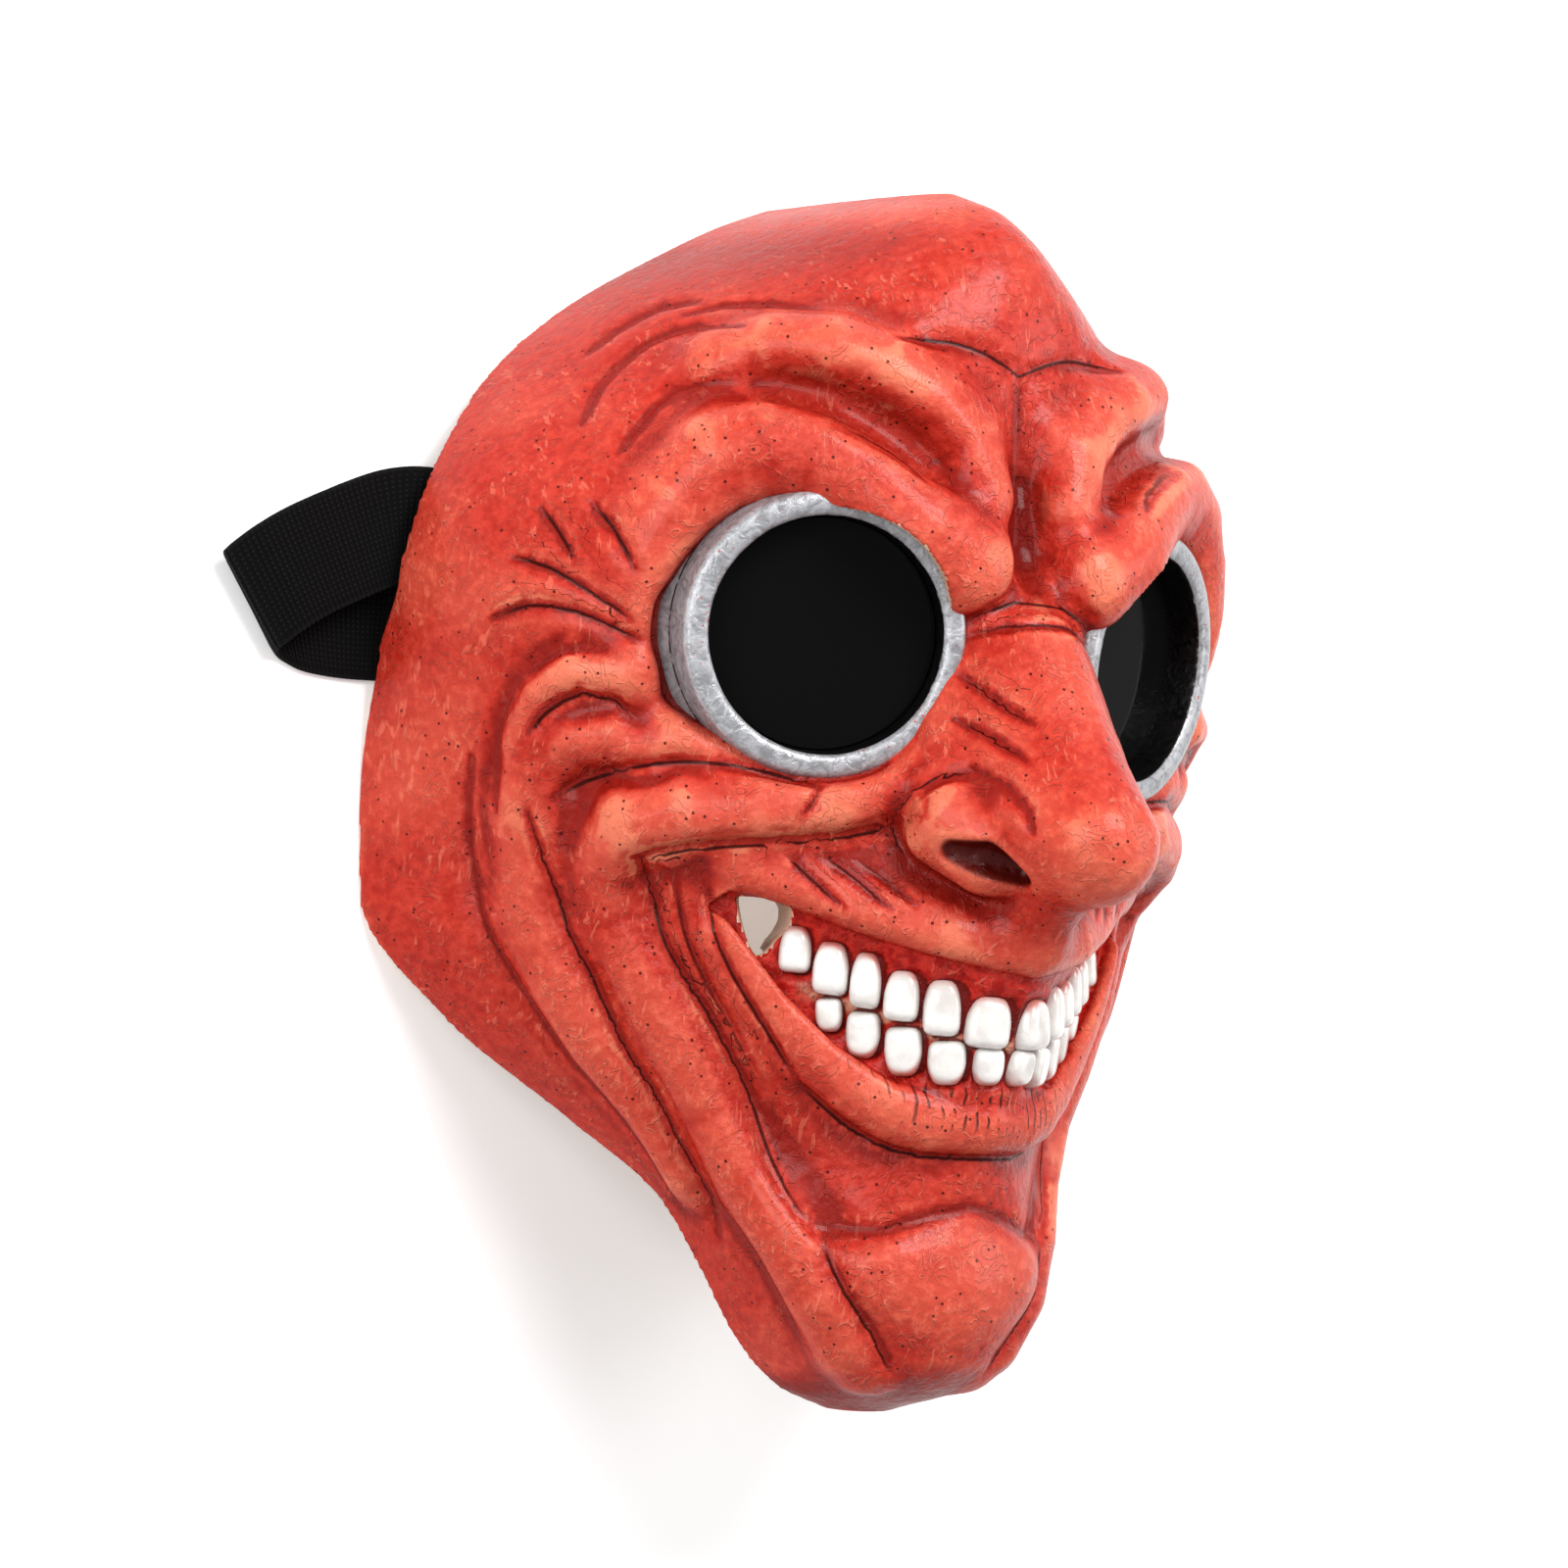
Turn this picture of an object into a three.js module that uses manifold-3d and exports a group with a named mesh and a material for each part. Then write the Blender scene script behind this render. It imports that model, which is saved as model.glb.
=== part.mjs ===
// Grinning devil mask: one cast latex skin with goggle rims and teeth, two tinted lenses, an elastic strap.
// Millimetres. The mask lies face up on its cut rim: +Z is straight out of the face, +Y the crown, -Y the
// chin, and -X the wearer's right. The table is z = 0 and the face is the same on both sides of x = 0.
import * as THREE from "three";
import { mergeVertices } from "three/addons/utils/BufferGeometryUtils.js";
import Module from "manifold-3d";

const wasm = await Module();
wasm.setup();

// Sections of the bare head: height y, half width, front depth, rim height, squareness of the half oval
const SECTIONS = [
  [-132, 7, 64, 58, 2],
  [-127, 19, 77, 54, 2],
  [-117, 27, 93, 48, 2],
  [-102, 34.5, 97, 43, 2],
  [-87, 43, 95, 37, 1.85],
  [-72, 59, 96, 24, 1.55],
  [-52, 83.5, 103, 10, 1.38],
  [-27, 101.5, 108, 0, 1.32],
  [0, 103.5, 103, 0, 1.55],
  [27, 104, 99, 5, 1.9],
  [43, 104.5, 99, 12, 2],
  [59, 101.5, 98, 13, 2],
  [76, 92.5, 95, 9, 2],
  [95, 76, 93, 2, 2],
  [110, 57.5, 92, 0, 2],
  [123, 36.5, 88, 0, 2],
  [132, 20, 79, 0, 2],
  [138, 6, 62, 0, 2],
];
const [WIDTH, FRONT, RIM, SQUARE] = [0, 1, 2, 3];
const Y_LOW = -131.6;
const Y_HIGH = 137.7;
const WALL = 2.8;
const GAP = 0.3;
const WELD = 1e-4;
const RAY_FAR = 150;

// Goggles: centre of the front face, turned out and down; rim, bore, lens and the ledge it is glued against
const EYE = new THREE.Vector3(44.3, 35.8, 89.5);
const EYE_OUT = THREE.MathUtils.degToRad(25);
const EYE_DOWN = THREE.MathUtils.degToRad(5);
const RIM_RADIUS = 30.5;
const RIM_BEVEL = 1.3;
const RIM_CLEAR = 0.5;
const RIM_FOOT = -18;
const FLARE_RADIUS = 32.4;
const FLARE_TOP = -7;
const FLARE_SLOPE = 5;
const FLARE_SHIFT = 3;
const BORE_RADIUS = 25;
const LENS_RADIUS = BORE_RADIUS - GAP;
const LENS_DEPTH = 8;
const LENS_THICKNESS = 2;
const LEDGE_RADIUS = 23.4;
const BORE_BOTTOM = -40;
const BORE_TOP = 6;
const RIM_SIDES = 32;
const SOCKET_RADIUS = 34;
const SOCKET_DEPTH = 11;
const SOCKET_SHIFT = 2.2;
const SOCKET_BLEND = 6;
const SEAT_DEPTH = 1;
const SEAT_BLEND = 3;

// Rolls of the face on one half: blend, then balls (angle from straight ahead, y, height over the head,
// radius)
const ROLLS = {
  lid: [5, [[18, 6, 3, 6], [23, 3, 4, 6.5], [30, 3, 4, 7], [38, 6, 4, 7], [45, 11, 3, 6]]],
  cheek: [4, [
    [17, 4, 4, 7], [24, -1, 6, 8.5], [33, -2, 8, 9.5], [42, -3, 9, 10], [49, -6, 8, 10], [54, -14, 4.5, 10],
    [54, -26, 2, 9.5], [50, -40, 1.8, 9], [48, -54, 2.8, 9], [47, -66, 4.2, 9], [47, -80, 6.2, 9],
    [44, -92, 6, 8.5], [38, -104, 5, 8], [30, -115, 3, 7], [16, -121, 1.5, 6.5], [0, -123, 1, 6.5],
  ]],
  pouchLow: [3.5, [[48, 8, 3, 6], [53, 12, 4, 6], [58, 11, 4, 6], [62, 5, 3, 6]]],
  pouchHigh: [3.5, [[53, 25, 3, 6], [59, 25, 4, 6.5], [63, 20, 3.5, 7], [65, 10, 3, 8], [65, -4, 3, 8]]],
  outerFold: [5, [
    [65, -2, 2.5, 8], [65, -12, 3, 8], [65, -25, 3, 8], [64, -41, 3, 8], [63, -53, 3, 8], [62, -65, 3, 8],
    [66, -80, 2.5, 7],
  ]],
  frontRoll: [8, [
    [44, 92, 4, 8], [36, 95, 7.5, 9], [28, 95, 9.5, 9.5], [21, 92, 8.5, 9], [15, 87, 7.5, 9],
    [10, 79, 7.5, 8.5], [7.5, 68, 7.5, 8],
  ]],
  upperLip: [6, [[0, -28, 7, 9], [8, -26, 6, 9], [17, -22, 4.5, 8], [26, -17, 3, 7], [34, -14, 2.5, 6]]],
  lowerLip: [4, [
    [0, -65, 5, 8], [8, -65, 5, 8], [14, -63, 5, 8], [20, -59, 4, 7], [26, -51, 3, 6], [32, -40, 2.5, 5],
    [37, -28, 2, 4.5],
  ]],
};
// The brow laps over the goggle, so it joins after the goggle's seat is cleared
const BROW = [6, [
  [56, 52, 1.5, 8], [52, 62, 4.5, 9], [46, 71, 8, 11], [39, 75, 9, 11.5], [32, 74, 9, 11], [25, 68, 9.5, 11],
  [18, 59, 12, 11], [11, 53, 12, 11.5],
]];
// Balls in plain x, y, z and radius
const NOSE = [6, [[0, 47, 97, 8], [0, 29, 108.5, 9], [0, 11, 119.5, 10.5], [0, -4, 128.5, 13.6]]];
const NOSE_SIDE = [7, [[6, 42, 92, 8.5], [6.5, 29, 102, 9.5], [7, 11, 111, 11], [7, -1, 117, 12]]];
const NOSE_FOOT = [9, [[12, 40, 83, 9], [13, 25, 91, 10.5], [13, 9, 98, 12]]];
const COLUMELLA = [6, [[0, -7, 122, 8], [0, -20, 109, 9]]];
const ALA = [3, [[18, -0.5, 102.5, 11.5], [12.5, -5.5, 109.5, 11.2]]];
const CHIN = [9, [[0, -99, 81, 14.5], [12, -99, 79, 14.5], [9, -110, 75.5, 12.5], [0, -110, 76, 12.5]]];
const NOSTRIL = [2.5, [[23.7, -8, 111, 2.2], [18.5, -9, 116, 3.6], [11, -11, 118.5, 2.6]]];

// Mouth opening seen from the front: upper and lower lip line, y at distances x from the middle
const LIP_X = [0, 12, 21, 32, 42, 49, 53, 55];
const LIP_TOP = [-33.5, -31.5, -29.5, -26, -22, -19.8, -19.8, -23];
const LIP_LOW = [-57.5, -58, -57, -50, -40, -30.5, -25, -23];
const GUM_DEPTH = 4.5;
// The gum stands further forward in the middle: by how much, and over what angle it falls away
const GUM_RISE = 5;
const GUM_RISE_ANGLE = 16;
// How the lips roll in to the gum: blends, and how far the gum runs on under the lips
const LIP_SLOPE = 0.8;
const LIP_BLEND = 2.5;
const GUM_UNDER = 3;
const GUM_EDGE_BLEND = 2;
const GUM_BLEND = 1.5;
const MOUTH_NEAR = 6;
const MOUTH_DEPTH = 25;
// Hole right through the gum at each corner of the mouth: outline as angle and y, from one height to another
const CORNER_HOLE = [
  [35.3, -20.4], [31.7, -20.4], [28, -21.4], [27.6, -25.5], [29.6, -29.5], [32, -32.8], [33.7, -28],
];
const CORNER_HOLE_FROM = -16;
const CORNER_HOLE_TO = -2.5;

// Teeth from the middle outwards: angle, y of the centre, width, height
const UPPER_TEETH = [
  [3, -43.5, 9.8, 11], [8.3, -41.1, 8.2, 12], [12.9, -39.2, 7.7, 10.6], [17.2, -36.5, 6.6, 11.8],
  [21.6, -34.5, 7.8, 11.2], [26.3, -31, 7, 9.8],
];
const LOWER_TEETH = [
  [2.1, -52.7, 6.9, 7.8], [7.1, -52.4, 8.4, 9.3], [12.5, -50.6, 8.2, 10.4], [17.7, -47.7, 7.5, 9.8],
  [22.2, -44.1, 5.9, 7],
];
const TOOTH_PROUD = 3.6;
const TOOTH_ROOT = 1.5;
const TOOTH_ROUND = 1.4;
const TOOTH_CORNER = 1.7;

// The ends of a crease are this shallow, over this share of its length; the hollow follows a crease this
// closely and this deep
const CREASE_END = 0.25;
const CREASE_FADE = 0.18;
const HOLLOW_BLEND = 4;
const CREASE_FOLLOW = 0.9;
const CREASE_LIMIT = 6;
// Creases pressed along the face: depth, half width, then points (angle from straight ahead, y)
const CREASES = {
  foldDeep: [5.5, 4, [
    [15, 3], [16, -3], [21, -6], [27, -8], [36, -10], [43, -12], [48, -15], [47, -23], [45, -33], [41, -48],
    [39, -62], [40, -78], [39, -86], [34, -91],
  ]],
  foldInner: [1.6, 2.4, [[44, -17], [43, -25], [41, -36], [38, -50], [36, -62]]],
  foldMid: [3.6, 3.5, [
    [63, -6], [62, -16], [60, -26], [58, -40], [58, -55], [58, -66], [63, -82], [70, -94],
  ]],
  foldOuter: [2.8, 3.5, [[72, 5], [73, -8], [73, -19], [71, -41], [71, -58], [72, -74], [81, -88]]],
  pouchEdge: [2.4, 3, [[56, 30], [61, 29], [65, 23], [68, 13], [68, 4], [68, -6]]],
  pouchCrease: [2.6, 3, [[63, 11], [61, 16], [57, 20], [53, 19], [50, 15]]],
  lidCrease: [2.8, 3, [[60, -2], [56, 2], [50, 5], [44, 7], [36, 7], [26, 4]]],
  crow1: [3, 2.4, [[71, 48], [66, 46], [60, 41], [54, 36]]],
  crow2: [2.8, 2.4, [[72, 35], [68, 38], [61, 37], [52, 32]]],
  crow3: [2.6, 2.6, [[62, 60], [58, 54], [55, 47]]],
  crow4: [2.2, 2.6, [[69, 59], [66, 54], [63, 48]]],
  browHollow: [8, 7.5, [[42, 88], [36, 88.5], [30, 86.5], [24, 83], [18.5, 78], [14.5, 71]]],
  frown: [4.6, 4.6, [[0, 97], [0, 88], [0, 78], [0, 68], [0, 58]]],
  frownLow: [4, 7, [[0, 76], [0, 68], [0, 60], [0, 52]]],
  forehead: [2.6, 2.8, [[19, 100.5], [11, 101], [5, 99], [0, 95.5]]],
  nasion: [3.4, 3, [[11, 41], [8, 43.5], [4, 46], [0, 46]]],
  temple1: [2.2, 3.2, [[65, 78], [63, 88], [57, 98], [49, 102], [40, 101]]],
  temple2: [2.2, 3.2, [[59, 72], [56, 79], [51, 86], [41, 89]]],
  noseSide1: [2.4, 2.4, [[10.8, 29.5], [9.1, 27], [8.1, 24.7], [6.7, 22.2], [5.5, 20]]],
  noseSide2: [2.2, 2.4, [[11.5, 20], [9.5, 17.9], [8, 15.2], [6.6, 12.2]]],
  alaGroove: [3.4, 2.6, [[14, -10], [15.4, -7], [16.4, -1.5], [15.6, 3.8], [13.1, 7.6], [9.7, 9.4]]],
  alaTop: [2.2, 2.6, [[10.5, 9.6], [8.3, 6.5], [7.3, 1.9], [6.9, -3]]],
  mouthCorner: [2.2, 2.4, [[39, -20], [38, -28], [36, -37], [32, -51], [30, -57]]],
  chinCrease: [2.8, 4.5, [[38, -88.5], [31, -89.3], [21, -89], [10, -85.5], [0, -83.5]]],
  chinSide: [2.4, 3.5, [[35, -93], [31, -103], [25, -111], [19, -120]]],
};

// Mesh of the face: rows up the face, columns round each row, and the same for the hollow behind it.
// Columns are PLAIN_SPACING times wider apart beyond FACE_ANGLE, on the plain side walls. END_SHARE of the
// rows is beyond each of FACE_Y, on the rounded chin end and crown.
const ROWS = 51;
const COLUMNS = 42;
const HOLLOW_ROWS = 25;
const HOLLOW_COLUMNS = 18;
const FACE_Y = [-105, 106];
const FACE_ANGLE = 70;
const PLAIN_SPACING = 2.4;
const END_SHARE = 0.08;
const HOLLOW_DROP = 12;
const MIN_WALL = 1.8;
const DEEPEN_PASSES = 4;
const DEEPEN_SHARE = 0.4;
// Where a facet is tested: the middle, and the middles of its edges and diagonals, as weights of its corners
const FACET_SAMPLES = [
  [0.25, 0.25, 0.25, 0.25], [0.5, 0.5, 0, 0], [0, 0.5, 0.5, 0], [0, 0, 0.5, 0.5], [0.5, 0, 0, 0.5],
  [0.5, 0, 0.5, 0], [0, 0.5, 0, 0.5],
];

// Strap: 25 mm woven elastic, its middle line from the glued end inside the right wall, out under the rim,
// round a soft fold and back over the table to the left wall; then how far its width leans from +Y, in
// degrees
const STRAP_WIDTH = 25;
const STRAP_THICKNESS = 1.4;
const STRAP_PATH = [
  [-87.9, 56, 36, -18], [-90.3, 56, 27, -18], [-92.9, 56, 17, -18], [-94.6, 56, 10.5, -17],
  [-98.2, 55.9, 8.2, -8], [-102, 55.2, 8, 5], [-107.5, 53.4, 8.4, 20], [-116, 49.6, 8.9, 26],
  [-125, 45, 9, 30], [-131, 41, 8.6, 33], [-134.6, 37.6, 7, 35], [-135.6, 35.8, 4.9, 36],
  [-134.4, 35, 2.6, 34], [-130.5, 34.2, 1.2, 28], [-121, 33.4, 1, 14], [-105, 33.3, 1, 3],
  [-80, 35, 1, -5], [-40, 41, 1, -8], [0, 47, 1, -8], [40, 52, 1, -6], [72, 55, 1, 0],
  [85, 56, 1.8, 8], [92, 56, 5, 14], [94.6, 56, 10.5, 17], [92.9, 56, 17, 18], [90.3, 56, 27, 18],
  [87.9, 56, 36, 18],
];
const STRAP_STEP = 8.5;

const COLOURS = { skin: 0xc4392c, lens: 0x0b0b0c, strap: 0x0c0c0d };

const UPRIGHT = new THREE.Vector3(0, 0, 1);
const lerp = (a, b, t) => a + t * (b - a);
const clamp = THREE.MathUtils.clamp;

// Smooth curves through the section table that never overshoot it
function monotoneTangents(column) {
  const n = SECTIONS.length;
  const slope = [];
  for (let i = 0; i < n - 1; i++) {
    slope.push((SECTIONS[i + 1][column] - SECTIONS[i][column]) / (SECTIONS[i + 1][0] - SECTIONS[i][0]));
  }
  const tangents = [slope[0]];
  for (let i = 1; i < n - 1; i++) {
    const h0 = SECTIONS[i][0] - SECTIONS[i - 1][0];
    const h1 = SECTIONS[i + 1][0] - SECTIONS[i][0];
    const [s0, s1] = [slope[i - 1], slope[i]];
    const [w0, w1] = [2 * h1 + h0, h1 + 2 * h0];
    tangents.push(s0 * s1 > 0 ? (w0 + w1) / (w0 / s0 + w1 / s1) : 0);
  }
  tangents.push(slope[n - 2]);
  return tangents;
}
const TANGENTS = [1, 2, 3, 4].map(monotoneTangents);

// Value and slope of one column of the section table at height y
function section(column, y) {
  let i = 0;
  while (i < SECTIONS.length - 2 && SECTIONS[i + 1][0] < y) i += 1;
  const h = SECTIONS[i + 1][0] - SECTIONS[i][0];
  const t = (y - SECTIONS[i][0]) / h;
  const [v0, v1] = [SECTIONS[i][column + 1], SECTIONS[i + 1][column + 1]];
  const [m0, m1] = [TANGENTS[column][i] * h, TANGENTS[column][i + 1] * h];
  const u = 1 - t;
  const value = (1 + 2 * t) * u * u * v0 + t * u * u * m0 + t * t * (3 - 2 * t) * v1 - t * t * u * m1;
  const rate = (6 * t * t - 6 * t) * (v0 - v1) + (3 * t * t - 4 * t + 1) * m0 + (3 * t * t - 2 * t) * m1;
  return [value, rate / h];
}
const rimHeight = (y) => section(RIM, clamp(y, Y_LOW, Y_HIGH))[0];

function smin(a, b, k) {
  const h = Math.max(k - Math.abs(a - b), 0) / k;
  return Math.min(a, b) - (h * h * k) / 4;
}
const smax = (a, b, k) => -smin(-a, -b, k);

// Distance to the bare head, a loft of half ovals on the rim
function head(x, y, z) {
  const yc = clamp(y, Y_LOW, Y_HIGH);
  const [w, dw] = section(WIDTH, yc);
  const [f, df] = section(FRONT, yc);
  const [r, dr] = section(RIM, yc);
  const n = section(SQUARE, yc)[0];
  const depth = f - r;
  const a = Math.abs(x) / w;
  const b = Math.max(z - r, 0) / depth;
  const [an, bn] = [a ** n, b ** n];
  const q = Math.max((an + bn) ** (1 / n), 0.15);
  const s = q ** (1 - n);
  const gx = (s * a ** (n - 1)) / w;
  const gz = (s * b ** (n - 1)) / depth;
  const gy = -s * ((an * dw) / w + (bn * (df - dr)) / depth) - gz * dr;
  const d = (q - 1) / Math.max(Math.hypot(gx, gy, gz), 0.004);
  const past = Math.abs(y - yc);
  return past > 0 ? Math.hypot(Math.max(d, 0), past) : d;
}

// Distance to a string of balls with cones between them
function chain(p, balls) {
  let best = Infinity;
  for (let i = 0; i < Math.max(balls.length - 1, 1); i++) {
    const a = balls[i];
    const b = balls[Math.min(i + 1, balls.length - 1)];
    const e = [b[0] - a[0], b[1] - a[1], b[2] - a[2]];
    const q = [p[0] - a[0], p[1] - a[1], p[2] - a[2]];
    const ee = e[0] ** 2 + e[1] ** 2 + e[2] ** 2;
    const t = ee > 0 ? clamp((q[0] * e[0] + q[1] * e[1] + q[2] * e[2]) / ee, 0, 1) : 0;
    const away = Math.hypot(q[0] - t * e[0], q[1] - t * e[1], q[2] - t * e[2]);
    best = Math.min(best, away - lerp(a[3], b[3], t));
  }
  return best;
}

// Point at a height over the bare head, on a ray from the middle of the rim plane
function onHead(angle, y, lift) {
  const [w, f, r, n] = [WIDTH, FRONT, RIM, SQUARE].map((column) => section(column, y)[0]);
  const [s, c] = [Math.sin(THREE.MathUtils.degToRad(angle)), Math.cos(THREE.MathUtils.degToRad(angle))];
  const reach = ((Math.abs(s) / w) ** n + (c / (f - r)) ** n) ** (-1 / n) + lift;
  return [reach * s, y, r + reach * c];
}
function placed(balls) {
  return balls.map(([angle, y, lift, radius]) => [...onHead(angle, y, lift - radius), radius]);
}
const ROLLS_PLACED = Object.values(ROLLS).map(([k, balls]) => [k, placed(balls)]);
const BROW_PLACED = [BROW[0], placed(BROW[1])];

// Axis of one goggle, out of the face; side is 1 for the wearer's left
function eyeAxis(side) {
  const flat = Math.cos(EYE_DOWN);
  return new THREE.Vector3(side * Math.sin(EYE_OUT) * flat, -Math.sin(EYE_DOWN), Math.cos(EYE_OUT) * flat);
}
const AXIS = eyeAxis(1);

// Direction across one goggle towards its temple
function eyeAcross(side) {
  const axis = eyeAxis(side);
  return new THREE.Vector3(side, 0, 0).addScaledVector(axis, -side * axis.x).normalize();
}
const SOCKET_OFFSET = eyeAcross(1).multiplyScalar(SOCKET_SHIFT).toArray();

// Height over the goggle's front face and distance from its axis
function eyeFrame(p) {
  const q = [p[0] - EYE.x, p[1] - EYE.y, p[2] - EYE.z];
  const h = q[0] * AXIS.x + q[1] * AXIS.y + q[2] * AXIS.z;
  return [h, Math.sqrt(Math.max(q[0] ** 2 + q[1] ** 2 + q[2] ** 2 - h * h, 0))];
}

// Distance to the head with its rolls and hollows, before any crease; p is on the half x >= 0
function forms(p) {
  let f = head(...p);
  const [h, round] = eyeFrame(p);
  const r = Math.min(round, eyeFrame(p.map((v, i) => v - SOCKET_OFFSET[i]))[1]);
  f = smax(f, -Math.max(r - SOCKET_RADIUS, -(h + SOCKET_DEPTH)), SOCKET_BLEND);
  for (const [k, balls] of ROLLS_PLACED) f = smin(f, chain(p, balls), k);
  f = smax(f, -Math.max(r - RIM_RADIUS - RIM_CLEAR, -(h + SEAT_DEPTH)), SEAT_BLEND);
  for (const [k, balls] of [BROW_PLACED, NOSE, NOSE_SIDE, NOSE_FOOT, COLUMELLA, ALA, CHIN]) {
    f = smin(f, chain(p, balls), k);
  }
  return smax(f, -chain(p, NOSTRIL[1]), NOSTRIL[0]);
}

// Point where a ray from the middle of the rim plane leaves a solid, found by halving
function rayOut(field, angle, y) {
  const [s, c] = [Math.sin(THREE.MathUtils.degToRad(angle)), Math.cos(THREE.MathUtils.degToRad(angle))];
  const z0 = rimHeight(y);
  const at = (t) => [t * s, y, z0 + t * c];
  let outside = RAY_FAR;
  while (outside > 2 && field(at(outside)) > 0) outside -= 2;
  let [low, high] = [outside, outside + 2];
  for (let i = 0; i < 8; i++) {
    const mid = (low + high) / 2;
    if (field(at(mid)) > 0) high = mid;
    else low = mid;
  }
  return at(low);
}

const CREASE_PATHS = Object.values(CREASES).map(([depth, width, points]) => {
  const curve = new THREE.CatmullRomCurve3(points.map(([angle, y]) => new THREE.Vector3(angle, y, 0)));
  const steps = points.length * 3;
  const onMiddle = points[points.length - 1][0] === 0;
  const path = [];
  for (let i = 0; i <= steps; i++) {
    const { x, y } = curve.getPoint(i / steps);
    const end = onMiddle ? i / steps : Math.min(i / steps, 1 - i / steps);
    const strength = lerp(CREASE_END, 1, Math.sin((clamp(end / CREASE_FADE, 0, 1) * Math.PI) / 2));
    path.push([...rayOut(forms, x, y), strength]);
  }
  const box = new THREE.Box3().setFromPoints(path.map((p) => new THREE.Vector3(...p))).expandByScalar(width);
  return { depth, width, path, box };
});

// How far the creases sink the face at a point
function creases(p) {
  const here = new THREE.Vector3(...p);
  let sink = 0;
  for (const { depth, width, path, box } of CREASE_PATHS) {
    if (!box.containsPoint(here)) continue;
    let most = 0;
    for (let i = 0; i < path.length - 1; i++) {
      const [a, b] = [path[i], path[i + 1]];
      const e = [b[0] - a[0], b[1] - a[1], b[2] - a[2]];
      const q = [p[0] - a[0], p[1] - a[1], p[2] - a[2]];
      const t = clamp((q[0] * e[0] + q[1] * e[1] + q[2] * e[2]) / (e[0] ** 2 + e[1] ** 2 + e[2] ** 2), 0, 1);
      const near = Math.hypot(q[0] - t * e[0], q[1] - t * e[1], q[2] - t * e[2]);
      const k = lerp(a[3], b[3], t);
      const u = clamp(1 - near / (width * (0.4 + 0.6 * k)), 0, 1);
      most = Math.max(most, k * u * u * (3 - 2 * u));
    }
    sink += depth * most;
  }
  return sink;
}

// Height of the gum over the bare head
const gumLevel = (angle) => GUM_RISE * Math.exp(-((angle / GUM_RISE_ANGLE) ** 2)) - GUM_DEPTH;

function interpolate(xs, ys, x) {
  let i = 0;
  while (i < xs.length - 2 && xs[i + 1] < x) i += 1;
  return lerp(ys[i], ys[i + 1], clamp((x - xs[i]) / (xs[i + 1] - xs[i]), 0, 1));
}

// Positive inside the mouth opening, seen from the front, in mm from the lip line
function mouth([x, y]) {
  const corner = LIP_X[LIP_X.length - 1];
  if (x > corner) return -(x - corner) - Math.abs(y - LIP_TOP[LIP_TOP.length - 1]);
  return LIP_SLOPE * Math.min(interpolate(LIP_X, LIP_TOP, x) - y, y - interpolate(LIP_X, LIP_LOW, x));
}

// Distance to the outer skin, and to the same skin before its creases
function skinPair(point) {
  const p = [Math.abs(point[0]), point[1], point[2]];
  const smooth = forms(p);
  let creased = smooth + creases(p);
  const inMouth = mouth(p);
  const bare = head(...p);
  if (inMouth > -MOUTH_NEAR && Math.abs(bare) < MOUTH_DEPTH) {
    const lips = smax(creased, inMouth, LIP_BLEND);
    const turn = THREE.MathUtils.radToDeg(Math.atan2(p[0], p[2] - rimHeight(p[1])));
    const gum = smax(bare - gumLevel(turn), -(inMouth + GUM_UNDER), GUM_EDGE_BLEND);
    creased = smin(lips, gum, GUM_BLEND);
  }
  return [smooth, creased];
}
const skin = (p) => skinPair(p)[1];

// The hollow behind the skin: both surfaces sunk by the wall, and further under a crease
function hollow(p) {
  const [smooth, creased] = skinPair(p);
  const under = CREASE_FOLLOW * clamp(creased - smooth, 0, CREASE_LIMIT);
  return smax(smooth, creased, HOLLOW_BLEND) + WALL + under;
}

// Heights of the rows of the mesh: even over the face, and closing up towards both rounded ends
function rowHeights(rows, yLow, yHigh) {
  const [low, high] = FACE_Y;
  const end = Math.round(rows * END_SHARE);
  const heights = [];
  for (let i = 0; i < end; i++) heights.push(low + (yLow - low) * Math.cos((i / end) * (Math.PI / 2)));
  for (let i = 0; i < rows - 2 * end; i++) heights.push(lerp(low, high, i / (rows - 2 * end)));
  for (let i = 0; i <= end; i++) heights.push(high + (yHigh - high) * Math.sin((i / end) * (Math.PI / 2)));
  return heights;
}

// Rows of points round the face, spaced along each row and closed below by two corners at the given drop
function faceRows(field, rows, columns, yLow, yHigh, drop) {
  const grid = [];
  for (const y of rowHeights(rows, yLow, yHigh)) {
    const fine = [];
    const angles = [];
    for (let j = 0; j <= 4 * columns; j++) {
      angles.push(lerp(-90, 90, j / (4 * columns)));
      fine.push(new THREE.Vector3(...rayOut(field, angles[j], y)));
    }
    const length = [0];
    for (let j = 1; j < fine.length; j++) {
      const spacing = Math.abs(angles[j] + angles[j - 1]) / 2 > FACE_ANGLE ? PLAIN_SPACING : 1;
      length.push(length[j - 1] + fine[j].distanceTo(fine[j - 1]) / spacing);
    }
    const row = [];
    for (let j = 0; j <= columns; j++) {
      const want = (length[length.length - 1] * j) / columns;
      let k = 0;
      while (k < length.length - 2 && length[k + 1] < want) k += 1;
      const t = (want - length[k]) / Math.max(length[k + 1] - length[k], 1e-6);
      row.push(fine[k].clone().lerp(fine[k + 1], clamp(t, 0, 1)));
    }
    if (drop > 0) {
      const [first, last] = [row[0], row[columns]];
      row.unshift(new THREE.Vector3(first.x, first.y, first.z - drop));
      row.push(new THREE.Vector3(last.x, last.y, last.z - drop));
    }
    grid.push(row);
  }
  return grid;
}

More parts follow.
